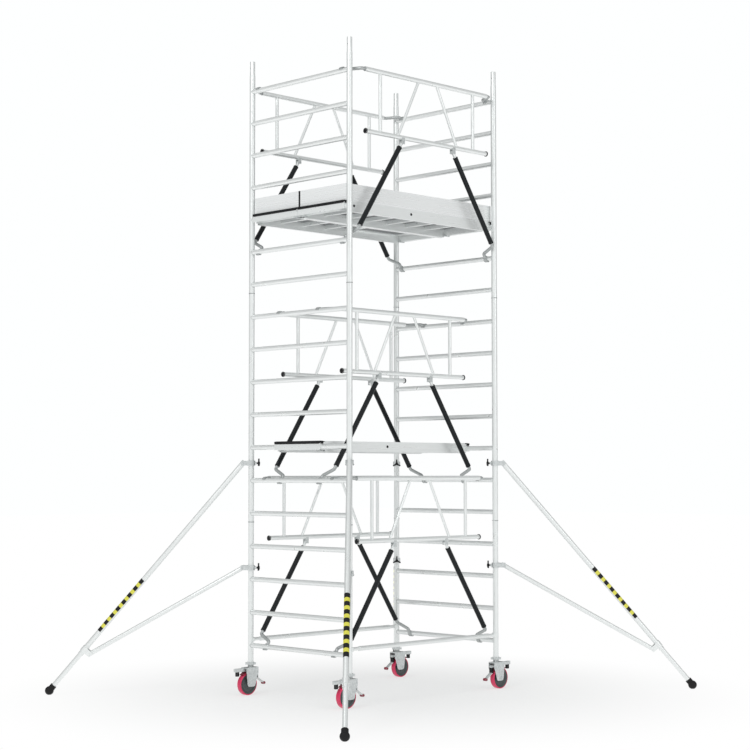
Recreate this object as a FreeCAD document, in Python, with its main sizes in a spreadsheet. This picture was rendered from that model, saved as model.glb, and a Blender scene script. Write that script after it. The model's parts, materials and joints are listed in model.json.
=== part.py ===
import FreeCAD, Part
import math
import os
import Sketcher

# Mobile tower scaffold. Origin on the floor under the middle of the tower,
# +Z up, +X along the long side, +Y across it; the near side has negative Y.
# Every size is in millimetres and lives in the sheet called "sizes".

doc = FreeCAD.newDocument("mobile_tower")
sheet = doc.addObject("Spreadsheet::Sheet", "sizes")
Vector = FreeCAD.Vector
UP = Vector(0, 0, 1)
ACROSS = Vector(0, 1, 0)
sheet_names = []
nodes = []


def size(alias, amount):
    """Write one named size into the sheet and hand its value back."""
    sheet_names.append(alias)
    row = len(sheet_names)
    sheet.set("A%d" % row, alias)
    sheet.set("B%d" % row, str(round(amount, 5)))
    sheet.setAlias("B%d" % row, alias)
    return float(amount)


# ---------------------------------------------------------------- sizes
tower_length = size("tower_length", 1900)
tower_width = size("tower_width", 1300)
half_length = tower_length / 2
half_width = tower_width / 2
rung_pitch = size("rung_pitch", 300)
base_rungs = 4
lift_rungs = 7
upright_radius = size("upright_radius", 25.4)
upright_wall = size("upright_wall", 2.0)
rung_radius = size("rung_radius", 22)
rung_wall = size("rung_wall", 1.8)
spigot_radius = size("spigot_radius", upright_radius - upright_wall - 0.4)
spigot_reach = size("spigot_reach", 134)
spigot_depth = size("spigot_depth", 100)
spigot_wall = size("spigot_wall", 3)
spigot_taper = size("spigot_taper", 4)
clip_height = size("clip_height", 70)
clip_pin_radius = size("clip_pin_radius", 3.7)
clip_ring_wall = size("clip_ring_wall", 2.5)
clip_ring_height = size("clip_ring_height", 8)
hand_gap = size("hand_gap", 0.3)

wheel_radius = size("wheel_radius", 100)
wheel_width = size("wheel_width", 50)
wheel_trail = size("wheel_trail", 42)
hub_reach = size("hub_reach", 7)
hub_gap = size("hub_gap", 1.5)
axle_radius = size("axle_radius", 6)
running_fit = size("running_fit", 0.05)
fork_plate = size("fork_plate", 4)
fork_crown = size("fork_crown", 8)
crown_gap = size("crown_gap", 41.6)
fork_top = size("fork_top", 2 * wheel_radius + crown_gap + fork_crown)
fork_width = size("fork_width", wheel_width + 2 * (hub_reach + hub_gap + fork_plate))
kingpin_radius = size("kingpin_radius", 8)
spindle_radius = size("spindle_radius", 19)
spindle_inside = size("spindle_inside", 383)
spindle_collar = size("spindle_collar", 7)
nut_height = size("nut_height", 25)
nut_wall = size("nut_wall", 12)
nut_wing_reach = size("nut_wing_reach", 48)
nut_wing_width = size("nut_wing_width", 12)
thread_showing = size("thread_showing", 22.4)
base_level = size("base_level", fork_top + thread_showing + nut_height)
fork_back = size("fork_back", wheel_radius + 4)
pedal_pin_radius = size("pedal_pin_radius", 4)
pedal_inset = size("pedal_inset", 7)
pedal_rise = size("pedal_rise", 12)

guard_end_gap = size("guard_end_gap", 150)
guard_half = half_length - guard_end_gap
guard_radius = size("guard_radius", 21)
guard_wall = size("guard_wall", 2)
guard_rise = size("guard_rise", 20)
knee_radius = size("knee_radius", 20)
knee_drop = size("knee_drop", 530)
knee_half = guard_half - 10
cap_lip = size("cap_lip", 4)
cap_length = size("cap_length", 9)
cap_depth = size("cap_depth", 15)
post_radius = size("post_radius", 15)
post_inset = size("post_inset", 190)
post_offset = guard_half - post_inset
lattice_wall = size("lattice_wall", 1.6)
diagonal_radius = size("diagonal_radius", 12.5)
diagonal_top_offset = size("diagonal_top_offset", 115)
diagonal_knee_offset = size("diagonal_knee_offset", 390)
guard_standoff = size("guard_standoff", 130)
guard_inset_top = size("guard_inset_top", 90)
guard_inset_middle = size("guard_inset_middle", 390)
guard_inset_low = size("guard_inset_low", 200)
pivot_offset = size("pivot_offset", 335)
pivot_drop = size("pivot_drop", 572)
pivot_radius = size("pivot_radius", 6)
core_radius = size("core_radius", 14)
eye_half = size("eye_half", 15)
sleeve_radius = size("sleeve_radius", 22)
sleeve_start_gap = size("sleeve_start_gap", 58)
sleeve_end_gap = size("sleeve_end_gap", 155)
arm_radius = size("arm_radius", 15)
arm_bend = size("arm_bend", 20)
claw_gap = size("claw_gap", 0.5)
claw_thickness = size("claw_thickness", 10)
claw_width = size("claw_width", 34)
base_claw_wall = size("base_claw_wall", 11)
base_claw_height = size("base_claw_height", 36)
base_neck_radius = size("base_neck_radius", 15)
base_brace_gap = size("base_brace_gap", 31)
base_brace_inset = size("base_brace_inset", 110)

platform_gap = size("platform_gap", 5)
platform_side_gap = size("platform_side_gap", 40)
platform_width = size("platform_width", half_width - platform_gap - platform_side_gap)
beam_thickness = size("beam_thickness", 30)
beam_below = size("beam_below", 46)
beam_above = size("beam_above", 49)
beam_wall = size("beam_wall", 3)
hook_reach = size("hook_reach", 28)
hook_back = size("hook_back", 35)
end_top = size("end_top", 41)
end_strip_drop = size("end_strip_drop", 18)
member_width = size("member_width", 30)
member_depth = size("member_depth", 35)
member_wall = size("member_wall", 2)
plug_radius = size("plug_radius", 12)
plug_end_inset = size("plug_end_inset", 93)
plug_middle_offset = size("plug_middle_offset", 136)
deck_top = size("deck_top", 45)
deck_thickness = size("deck_thickness", 12)
hatch_end_gap = size("hatch_end_gap", 100)
hatch_length = size("hatch_length", 600)
hatch_side_gap = size("hatch_side_gap", 32.5)
hatch_clearance = size("hatch_clearance", 3)
hatch_frame_width = size("hatch_frame_width", 45)
hatch_frame_lap = size("hatch_frame_lap", 12)
hinge_pin_radius = size("hinge_pin_radius", 3.5)
knuckle_radius = size("knuckle_radius", 7)
knuckle_length = size("knuckle_length", 60)
toe_height = size("toe_height", 150)
toe_thickness = size("toe_thickness", 18)
toe_divider_half = size("toe_divider_half", 11)
toe_corner_length = size("toe_corner_length", 69)
toe_corner_width = size("toe_corner_width", 30)

leg_radius = size("leg_radius", 24)
leg_wall = size("leg_wall", 2.7)
foot_tube_radius = size("foot_tube_radius", leg_radius - leg_wall - hand_gap)
brace_radius = size("brace_radius", 20)
brace_wall = size("brace_wall", 2)
clamp_radius = size("clamp_radius", 36)
clamp_height = size("clamp_height", 46)
cheek_gap = size("cheek_gap", 0.4)
cheek_thickness = size("cheek_thickness", 5)
bolt_radius = size("bolt_radius", 6)
knob_reach = size("knob_reach", 42)
knob_arm_radius = size("knob_arm_radius", 7)
knob_hub_radius = size("knob_hub_radius", 14)
knob_stand = size("knob_stand", 14)
hinge_offset = size("hinge_offset", 75)
leg_clamp_rise = size("leg_clamp_rise", 8)
brace_clamp_drop = size("brace_clamp_drop", 47)
leg_start_height = size("leg_start_height", base_level + 6 * rung_pitch + leg_clamp_rise)
brace_start_height = size("brace_start_height", base_level + 3 * rung_pitch - brace_clamp_drop)
leg_spread = size("leg_spread", 1835)
leg_overlap = size("leg_overlap", 450)
leg_clear = size("leg_clear", 432)
collar_clear = size("collar_clear", 488)
collar_drop = size("collar_drop", 64)
collar_wall = size("collar_wall", 5)
boot_radius = size("boot_radius", 39)
boot_height = size("boot_height", 37)
cuff_wall = size("cuff_wall", 8)
cuff_length = size("cuff_length", 64)

doc.recompute()


# -------------------------------------------------------------- helpers
def at(x, y, z, turn=0.0):
    """A place in the tower, turned about the upright direction."""
    return FreeCAD.Placement(Vector(x, y, z), FreeCAD.Rotation(UP, turn))


def rod(name, start, finish, radius):
    """A round bar from one point to another."""
    run = finish.sub(start)
    size(name + "_length", run.Length)
    bar = doc.addObject("Part::Cylinder", name)
    bar.setExpression("Radius", radius)
    bar.setExpression("Height", "sizes." + name + "_length")
    bar.Placement = FreeCAD.Placement(start, FreeCAD.Rotation(UP, run))
    return bar


def block(name, low, high, frame=None):
    """A straight-sided block between two opposite corners of a local frame."""
    solid = doc.addObject("Part::Box", name)
    for side, span in (("Length", high.x - low.x), ("Width", high.y - low.y), ("Height", high.z - low.z)):
        alias = name + "_" + side.lower()
        size(alias, span)
        solid.setExpression(side, "sizes." + alias)
    corner = FreeCAD.Placement(low, FreeCAD.Rotation())
    solid.Placement = corner if frame is None else frame.multiply(corner)
    return solid


def join(name, members):
    """One solid made of several that run into each other."""
    result = doc.addObject("Part::MultiFuse", name)
    result.Shapes = members
    return result


def cut(name, base, tools):
    """The base with every tool taken away from it."""
    tool = tools[0] if len(tools) == 1 else join(name + "_tools", tools)
    result = doc.addObject("Part::Cut", name)
    result.Base = base
    result.Tool = tool
    return result


def tube(name, start, finish, radius, wall):
    """A hollow round tube, open at both ends."""
    outside = rod(name + "_skin", start, finish, radius)
    inside = rod(name + "_bore", start, finish, radius + " - " + wall)
    return cut(name, outside, [inside])


def group(name, members):
    """Several solids kept apart in one piece."""
    result = doc.addObject("Part::Compound", name)
    result.Links = members
    return result


def placed(name, source, place):
    """The same piece again, somewhere else."""
    result = doc.addObject("Part::Compound", name)
    result.Links = [source]
    result.Placement = place
    return result


def node(name, item, place=None):
    """A named piece of the tower, written out under this name."""
    if place is not None:
        item = placed(name, item, place)
    item.Label = name
    nodes.append(item)
    return item


def outline(body, name, plane, corners):
    """A closed outline whose every corner is held by two sized distances."""
    sketch = body.newObject("Sketcher::SketchObject", name)
    flat = [item for item in body.Origin.OriginFeatures if item.Role == plane][0]
    sketch.AttachmentSupport = [(flat, "")]
    sketch.MapMode = "FlatFace"
    points = []
    for across, upward in corners:
        points.append(Vector(sheet.evalExpression(across), sheet.evalExpression(upward), 0))
    count = len(points)
    for index in range(count):
        sketch.addGeometry(Part.LineSegment(points[index], points[(index + 1) % count]), False)
    for index in range(count):
        sketch.addConstraint(Sketcher.Constraint("Coincident", index, 2, (index + 1) % count, 1))
    for index, (across, upward) in enumerate(corners):
        distances = (("DistanceX", points[index].x, across), ("DistanceY", points[index].y, upward))
        for kind, amount, text in distances:
            number = sketch.addConstraint(Sketcher.Constraint(kind, -1, 1, index, 1, amount))
            sketch.setExpression("Constraints[%d]" % number, text)
    return sketch


def turned(name, corners):
    """A round piece: an outline of radius against height, turned about the upright axis."""
    body = doc.addObject("PartDesign::Body", name)
    sketch = outline(body, name + "_outline", "XZ_Plane", corners)
    feature = body.newObject("PartDesign::Revolution", name + "_turn")
    feature.Profile = sketch
    feature.ReferenceAxis = (sketch, ["V_Axis"])
    feature.Angle = 360
    return body


def extruded(name, corners, width):
    """A side outline (X against Z) given a width, half to each side."""
    body = doc.addObject("PartDesign::Body", name)
    sketch = outline(body, name + "_outline", "XZ_Plane", corners)
    feature = body.newObject("PartDesign::Pad", name + "_width")
    feature.Profile = sketch
    feature.SideType = "Symmetric"
    feature.setExpression("Length", width)
    return body


def bent_rod(name, points, radius, bend):
    """A round bar along straight runs joined by tangent bends."""
    edges = []
    start = points[0]
    for index in range(1, len(points) - 1):
        corner = points[index]
        back = points[index - 1].sub(corner).normalize()
        ahead = points[index + 1].sub(corner).normalize()
        angle = back.getAngle(ahead)
        setback = bend / math.tan(angle / 2)
        first = corner.add(back * setback)
        last = corner.add(ahead * setback)
        inward = back.add(ahead).normalize()
        middle = corner.add(inward * (bend / math.sin(angle / 2) - bend))
        edges.append(Part.LineSegment(start, first).toShape())
        edges.append(Part.Arc(first, middle, last).toShape())
        start = last
    edges.append(Part.LineSegment(start, points[-1]).toShape())
    path = doc.addObject("Part::Feature", name + "_path")
    path.Shape = Part.Wire(edges)
    section = doc.addObject("Part::Circle", name + "_section")
    section.setExpression("Radius", radius)
    run = points[1].sub(points[0])
    section.Placement = FreeCAD.Placement(points[0], FreeCAD.Rotation(UP, run))
    bar = doc.addObject("Part::Sweep", name)
    bar.Sections = [section]
    bar.Spine = (path, ["Edge%d" % (index + 1) for index in range(len(edges))])
    bar.Solid = True
    bar.Frenet = False
    return bar


# ----------------------------------------------------------- end frames
def make_rung():
    """A ladder rung whose ends are shaped to sit on the uprights."""
    bar = tube("rung_bar", Vector(0, -half_width, 0), Vector(0, half_width, 0),
               "sizes.rung_radius", "sizes.rung_wall")
    saddles = []
    for label, side in (("near", -1), ("far", 1)):
        low = Vector(0, side * half_width, -2 * rung_radius)
        high = Vector(0, side * half_width, 2 * rung_radius)
        saddles.append(rod("rung_saddle_" + label, low, high, "sizes.upright_radius"))
    return cut("rung", bar, saddles)


def clip_hole(name):
    """The drilling for a clip's pin, right through a tube standing on its joint."""
    reach = 1.5 * upright_radius
    return rod(name, Vector(-reach, 0, clip_height), Vector(reach, 0, clip_height),
               "sizes.clip_pin_radius + sizes.hand_gap")


def make_spigot():
    """The joint stub in the top of each upright, with its clip hole."""
    inside = "sizes.spigot_radius - sizes.spigot_wall"
    stub = turned("spigot_stub", [
        (inside, "-sizes.spigot_depth"),
        ("sizes.upright_radius - sizes.upright_wall", "-sizes.spigot_depth"),
        ("sizes.upright_radius - sizes.upright_wall", "0"),
        ("sizes.spigot_radius", "0"),
        ("sizes.spigot_radius", "sizes.spigot_reach - sizes.spigot_taper"),
        ("sizes.spigot_radius - sizes.spigot_taper / 2", "sizes.spigot_reach"),
        (inside, "sizes.spigot_reach"),
    ])
    return cut("spigot", stub, [clip_hole("spigot_hole")])


def make_upright(name, rungs, with_holes):
    """One upright tube, drilled for the clip that holds it to the spigot below."""
    pipe = tube(name + "_pipe", Vector(0, 0, 0), Vector(0, 0, rungs * rung_pitch),
                "sizes.upright_radius", "sizes.upright_wall")
    if not with_holes:
        return pipe
    return cut(name, pipe, [clip_hole(name + "_hole")])


rung = make_rung()
spigot = make_spigot()


def make_end_frame(name, rungs, with_holes):
    """A ladder frame: two uprights, its rungs and two spigots."""
    upright = make_upright(name + "_upright", rungs, with_holes)
    members = []
    for label, side in (("near", -1), ("far", 1)):
        members.append(placed(name + "_upright_" + label, upright, at(0, side * half_width, 0)))
        top = at(0, side * half_width, rungs * rung_pitch)
        members.append(placed(name + "_spigot_" + label, spigot, top))
    for index in range(rungs):
        height = (index + 0.5) * rung_pitch
        members.append(placed("%s_rung_%s" % (name, "abcdefg"[index]), rung, at(0, 0, height)))
    return group(name, members)


level = base_level
joint_levels = []
for name, rungs in (("base_frame", base_rungs), ("middle_frame", lift_rungs), ("top_frame", lift_rungs)):
    ladder = make_end_frame(name, rungs, name != "base_frame")
    node(name + "_left", ladder, at(-half_length, 0, level, 180))
    node(name + "_right", ladder, at(half_length, 0, level, 0))
    if name != "base_frame":
        joint_levels.append(level)
    level = level + rungs * rung_pitch


# --------------------------------------------------------- locking clips
def make_clip():
    """A sprung ring round the upright with a pin through it into the spigot."""
    inside = upright_radius + hand_gap
    half = clip_ring_height / 2
    ring = rod("clip_ring", Vector(0, 0, -half), Vector(0, 0, half),
               "sizes.upright_radius + sizes.hand_gap + sizes.clip_ring_wall")
    pin = rod("clip_pin", Vector(inside - 7, 0, 0), Vector(inside + 5, 0, 0), "sizes.clip_pin_radius")
    hollow = rod("clip_hollow", Vector(0, 0, -2 * half), Vector(0, 0, 2 * half),
                 "sizes.upright_radius + sizes.hand_gap")
    mouth = block("clip_mouth", Vector(-2 * inside, -inside / 2, -2 * half), Vector(0, inside / 2, 2 * half))
    spring = cut("clip_spring", ring, [hollow, mouth])
    return join("clip", [spring, pin])


clip = make_clip()
clips = []
for joint in joint_levels:
    for turn, x in ((180, -half_length), (0, half_length)):
        for y in (-half_width, half_width):
            label = "clip_%s" % "abcdefgh"[len(clips)]
            clips.append(placed(label, clip, at(x, y, joint + clip_height, turn)))
node("locking_clips", group("locking_clips", clips))


# ---------------------------------------------------------------- claws
def half_ring(name, centre, axis, middle, inside, outside, width):
    """Half a ring round an axis, its thick middle facing one way."""
    across = axis.cross(middle).normalize()
    start = centre.sub(axis * (width / 2))
    finish = centre.add(axis * (width / 2))
    ring = rod(name + "_ring", start, finish, outside)
    hollow = rod(name + "_hollow", start.sub(axis * 5), finish.add(axis * 5), inside)
    turn = FreeCAD.Rotation(middle, across, axis, "ZXY")
    frame = FreeCAD.Placement(centre, turn)
    reach = 3 * upright_radius
    opening = block(name + "_opening", Vector(-reach, -reach, -width), Vector(0, reach, width), frame)
    return ring, [hollow, opening]


# ---------------------------------------------------------- base braces
def make_base_brace():
    """A tube along the foot of one side with a claw round the upright at each end."""
    reach = half_length - base_brace_inset
    members = [tube("base_brace_tube", Vector(-reach, 0, 0), Vector(reach, 0, 0),
                    "sizes.knee_radius", "sizes.guard_wall")]
    for label, side in (("left", -1), ("right", 1)):
        centre = Vector(side * half_length, 0, 0)
        ring, takes = half_ring("base_claw_" + label, centre, UP, Vector(-side, 0, 0),
                                "sizes.upright_radius + sizes.hand_gap",
                                "sizes.upright_radius + sizes.base_claw_wall", base_claw_height)
        neck_end = half_length - upright_radius - 2
        neck = rod("base_neck_" + label, Vector(side * reach, 0, 0), Vector(side * neck_end, 0, 0),
                   "sizes.base_neck_radius")
        plug = rod("base_plug_" + label, Vector(side * (reach - 40), 0, 0), Vector(side * reach, 0, 0),
                   "sizes.knee_radius - sizes.guard_wall")
        whole = join("base_grip_solid_" + label, [ring, neck, plug])
        members.append(cut("base_grip_" + label, whole, takes))
    return group("base_brace", members)


base_brace = make_base_brace()
base_brace_height = base_level + 0.5 * rung_pitch + rung_radius + base_brace_gap
node("base_braces", group("base_braces", [
    placed("base_brace_near", base_brace, at(0, -half_width, base_brace_height)),
    placed("base_brace_far", base_brace, at(0, half_width, base_brace_height)),
]))


# --------------------------------------------------------- guard frames
stay_drop = 5 * rung_pitch
stay_run = Vector(half_length - pivot_offset, 0, pivot_drop - stay_drop)
stay_length = stay_run.Length
stay_way = Vector(stay_run.x, 0, stay_run.z).normalize()


def make_bracket(label, centre, rail):
    """Two cheeks under the knee rail with the pin that the stay's eye turns on."""
    half = 18
    width = eye_half + 5
    bracket = block("bracket_block_" + label, centre + Vector(-half, -width, -half),
                    centre + Vector(half, width, pivot_drop - knee_drop))
    slot = block("bracket_slot_" + label, centre + Vector(-2 * half, -eye_half - hand_gap, -2 * half),
                 centre + Vector(2 * half, eye_half + hand_gap, half + 0.5))
    cheeks = cut("bracket_cheeks_" + label, bracket, [rail, slot])
    pin = rod("bracket_pin_" + label, centre + Vector(0, -width - 3, 0), centre + Vector(0, width + 3, 0),
              "sizes.pivot_radius")
    return join("guard_bracket_" + label, [cheeks, pin])


def make_guard_frame():
    """Top rail, knee rail, two posts, two diagonals, stay brackets and end plugs."""
    top_left = Vector(-guard_half, 0, guard_rise)
    top_right = Vector(guard_half, 0, guard_rise)
    knee_left = Vector(-knee_half, 0, -knee_drop)
    knee_right = Vector(knee_half, 0, -knee_drop)
    top = tube("guard_top_rail", top_left, top_right, "sizes.guard_radius", "sizes.guard_wall")
    knee = tube("guard_knee_rail", knee_left, knee_right, "sizes.knee_radius", "sizes.guard_wall")
    members = [top, knee]
    for label, side in (("left", -1), ("right", 1)):
        uprights = (
            ("post", side * post_offset, side * post_offset, "sizes.post_radius"),
            ("diagonal", side * diagonal_top_offset, side * diagonal_knee_offset, "sizes.diagonal_radius"),
        )
        for kind, top_x, knee_x, radius in uprights:
            bar = tube("guard_%s_bar_%s" % (kind, label), Vector(top_x, 0, guard_rise),
                       Vector(knee_x, 0, -knee_drop), radius, "sizes.lattice_wall")
            saddles = [
                rod("guard_%s_top_%s" % (kind, label), top_left, top_right, "sizes.guard_radius"),
                rod("guard_%s_knee_%s" % (kind, label), knee_left, knee_right, "sizes.knee_radius"),
            ]
            members.append(cut("guard_%s_%s" % (kind, label), bar, saddles))
        centre = Vector(side * pivot_offset, 0, -pivot_drop)
        rail = rod("bracket_saddle_" + label, knee_left, knee_right, "sizes.knee_radius")
        members.append(make_bracket(label, centre, rail))
        inside = rod("guard_plug_" + label, Vector(side * (knee_half - cap_depth), 0, -knee_drop),
                     Vector(side * knee_half, 0, -knee_drop), "sizes.knee_radius - sizes.guard_wall")
        cap = rod("guard_cap_" + label, Vector(side * knee_half, 0, -knee_drop),
                  Vector(side * (knee_half + cap_length), 0, -knee_drop), "sizes.knee_radius + sizes.cap_lip")
        members.append(join("guard_end_cap_" + label, [inside, cap]))
    return group("guard_frame", members)


def make_guard_hook(name, side):
    """The bent arm from the end of a top rail to the claw over the rung."""
    centre = Vector(side * half_length, guard_standoff, 0)
    start = Vector(side * (guard_half - 4), 0, guard_rise)
    knee = Vector(side * (guard_half + 40), 0, guard_rise)
    wrist = centre + Vector(-side * 52, 0, 20)
    hold = centre + Vector(-side * 24, 0, 13)
    arm = bent_rod(name + "_arm", [start, knee, wrist, hold], "sizes.arm_radius", arm_bend)
    plug = rod(name + "_plug", Vector(side * (guard_half - 30), 0, guard_rise),
               Vector(side * (guard_half - 2), 0, guard_rise), "sizes.guard_radius - sizes.guard_wall")
    shoulder = rod(name + "_shoulder", Vector(side * guard_half, 0, guard_rise),
                   Vector(side * (guard_half + 12), 0, guard_rise), "sizes.guard_radius - 4")
    middle = Vector(-side * math.sin(math.radians(20)), 0, math.cos(math.radians(20)))
    ring, takes = half_ring(name + "_claw", centre, ACROSS, middle, "sizes.rung_radius + sizes.claw_gap",
                            "sizes.rung_radius + sizes.claw_gap + sizes.claw_thickness", claw_width)
    claw = cut(name + "_claw_half", ring, takes)
    clearance = rod(name + "_clear", centre - ACROSS * 60, centre + ACROSS * 60,
                    "sizes.rung_radius + sizes.claw_gap")
    hand = cut(name + "_hand", arm, [clearance])
    return join(name, [hand, plug, shoulder, claw])


def make_stay(name, side):
    """A folding stay: an eye and a sleeved tube in one solid, and a bent arm ending in a claw."""
    way = Vector(side * stay_way.x, 0, stay_way.z)
    pivot = Vector(side * pivot_offset, 0, -pivot_drop)
    centre = Vector(side * half_length, guard_standoff, -stay_drop)
    sleeve_start = pivot + way * sleeve_start_gap
    sleeve_end = pivot + way * (stay_length - sleeve_end_gap)
    eye = rod(name + "_eye", pivot - ACROSS * eye_half, pivot + ACROSS * eye_half, "sizes.core_radius")
    core = rod(name + "_core", pivot, sleeve_end, "sizes.core_radius")
    sleeve = rod(name + "_sleeve", sleeve_start, sleeve_end, "sizes.sleeve_radius")
    eye_hole = rod(name + "_eye_hole", pivot - ACROSS * 2 * eye_half, pivot + ACROSS * 2 * eye_half,
                   "sizes.pivot_radius + sizes.hand_gap")
    shank = cut(name + "_shank", join(name + "_shank_solid", [eye, core, sleeve]), [eye_hole])
    inward = Vector(way.z, 0, -way.x) * side
    knee = sleeve_end + way * 35
    wrist = centre - way * 62 + inward * 14
    hold = centre - way * 22 + inward * 16
    arm = bent_rod(name + "_arm", [sleeve_end, knee, wrist, hold], "sizes.arm_radius", arm_bend)
    ring, takes = half_ring(name + "_claw", centre, ACROSS, inward, "sizes.rung_radius + sizes.claw_gap",
                            "sizes.rung_radius + sizes.claw_gap + sizes.claw_thickness", claw_width)
    claw = cut(name + "_claw_half", ring, takes)
    clearance = rod(name + "_clear", centre - ACROSS * 60, centre + ACROSS * 60,
                    "sizes.rung_radius + sizes.claw_gap")
    turn = FreeCAD.Rotation(inward, ACROSS.cross(inward), ACROSS, "ZXY")
    path_out = block(name + "_way_out", Vector(-80, -rung_radius - 1, -60), Vector(0, rung_radius + 1, 60),
                     FreeCAD.Placement(centre, turn))
    hand = cut(name + "_hand", arm, [clearance, path_out])
    return group(name, [shank, join(name + "_grip", [hand, claw])])


guard_frame = make_guard_frame()
hook_arms = {
    "left": make_guard_hook("guard_hook_left", -1),
    "right": make_guard_hook("guard_hook_right", 1),
}
stays = {
    "left": make_stay("stay_left", -1),
    "right": make_stay("stay_right", 1),
}
opposite = {"left": "right", "right": "left"}
guard_levels = {
    "top": (base_level + 17.5 * rung_pitch, half_width - guard_inset_top),
    "middle": (base_level + 10.5 * rung_pitch, half_width - guard_inset_middle),
    "low": (base_level + 5.5 * rung_pitch, half_width - guard_inset_low),
}
hook_copies = []
for guard_level, (height, hook_offset) in guard_levels.items():
    plane = hook_offset + guard_standoff
    for side_name, y, turn in (("near", -plane, 0), ("far", plane, 180)):
        spot = at(0, y, height, turn)
        node("guard_frame_%s_%s" % (guard_level, side_name), guard_frame, spot)
        for hand in ("left", "right"):
            shape_hand = hand if side_name == "near" else opposite[hand]
            suffix = "%s_%s_%s" % (guard_level, side_name, hand)
            hook_copies.append(placed("hook_" + suffix, hook_arms[shape_hand], spot))
            node("guard_stay_" + suffix, stays[shape_hand], spot)
node("guard_hooks", group("guard_hooks", hook_copies))


# ------------------------------------------------------------ platforms
half_platform = platform_width / 2
inner_half = half_platform - beam_thickness
beam_half = half_length - hook_back
deck_bottom = deck_top - deck_thickness
hatch_end = half_length - hatch_end_gap
hatch_start = hatch_end - hatch_length
hatch_half = inner_half - hatch_side_gap


def make_platform_end():
    """The rounded end section that drops over a rung."""
    reach = "sizes.rung_radius + sizes.claw_gap"
    section = extruded("platform_end_section", [
        ("-sizes.hook_back", "-30"),
        ("-(%s)" % reach, "-30"),
        ("-(%s)" % reach, "0"),
        (reach, "0"),
        (reach, "-27"),
        ("sizes.hook_reach", "-27"),
        ("sizes.hook_reach", "20"),
        ("sizes.hook_reach - 3", "sizes.end_top - 10"),
        ("sizes.hook_reach - 9", "sizes.end_top - 3"),
        ("sizes.hook_reach - 18", "sizes.end_top"),
        ("-sizes.hook_back", "sizes.end_top"),
    ], "sizes.platform_width")
    past = half_platform + 5
    seat = rod("platform_end_seat", Vector(0, -past, 0), Vector(0, past, 0), reach)
    return cut("platform_end", section, [seat])


platform_end = make_platform_end()


def box_beam(name, low, high, wall, along):
    """A hollow rectangular beam open at its two ends."""
    thick = Vector(wall, wall, wall)
    inner_low = low.add(thick)
    inner_high = high.sub(thick)
    if along == "x":
        inner_low.x = low.x
        inner_high.x = high.x
    else:
        inner_low.y = low.y
        inner_high.y = high.y
    return cut(name, block(name + "_skin", low, high), [block(name + "_bore", inner_low, inner_high)])


def make_hatch_frame(name):
    """Four flat bars under the edge of the trapdoor."""
    low_z = deck_bottom - hatch_frame_lap
    outside = hatch_frame_width - hatch_frame_lap
    start = hatch_start + hatch_frame_lap
    finish = hatch_end - hatch_frame_lap
    inner_y = hatch_half - hatch_frame_lap
    bars = []
    for label, low_x, high_x, low_y, high_y in (
            ("left", hatch_start - outside, start, -inner_half, inner_half),
            ("right", finish, hatch_end + outside, -inner_half, inner_half),
            ("near", start, finish, -inner_half, -inner_y),
            ("far", start, finish, inner_y, inner_half)):
        bars.append(block("%s_frame_%s" % (name, label), Vector(low_x, low_y, low_z),
                          Vector(high_x, high_y, deck_bottom)))
    return bars


def make_hinge(name):
    """The trapdoor's hinge pin in its two lugs."""
    start = hatch_start + hatch_frame_lap
    finish = hatch_end - hatch_frame_lap
    pin = rod(name + "_hinge_pin", Vector(start, hatch_half, deck_top), Vector(finish, hatch_half, deck_top),
              "sizes.hinge_pin_radius")
    lugs = [pin]
    for label, x in (("first", start - 4), ("last", finish - 8)):
        lugs.append(block(name + "_lug_" + label, Vector(x, hatch_half - 5, deck_bottom),
                          Vector(x + 12, hatch_half + 6, deck_top + 5)))
    return join(name + "_hinge", lugs)


def make_platform(name, with_hatch):
    """Beams, ends, cross members and round plugs; a frame and a hinge if it has a hatch."""
    members = [
        placed(name + "_end_right", platform_end, at(half_length, 0, 0)),
        placed(name + "_end_left", platform_end, at(-half_length, 0, 0, 180)),
    ]
    for label, side in (("near", -1), ("far", 1)):
        edge = side * half_platform
        inner = side * inner_half
        low = Vector(-beam_half, min(edge, inner), -beam_below)
        high = Vector(beam_half, max(edge, inner), beam_above)
        members.append(box_beam(name + "_beam_" + label, low, high, beam_wall, "x"))
    letters = "abc" if with_hatch else "abcdef"
    span_end = hatch_start - hatch_frame_width if with_hatch else beam_half
    spacing = (span_end + beam_half) / (len(letters) + 1)
    for index, letter in enumerate(letters):
        x = -beam_half + (index + 1) * spacing
        low = Vector(x - member_width / 2, -inner_half, deck_bottom - member_depth)
        high = Vector(x + member_width / 2, inner_half, deck_bottom)
        members.append(box_beam("%s_member_%s" % (name, letter), low, high, member_wall, "y"))
    for label, x in (("outer", plug_end_inset - half_length), ("inner", -plug_middle_offset)):
        spot = Vector(x, -half_platform, 6)
        members.append(rod("%s_plug_%s" % (name, label), spot, spot - ACROSS * 2, "sizes.plug_radius"))
    if with_hatch:
        members.extend(make_hatch_frame(name))
        members.append(make_hinge(name))
    return group(name, members)


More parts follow.
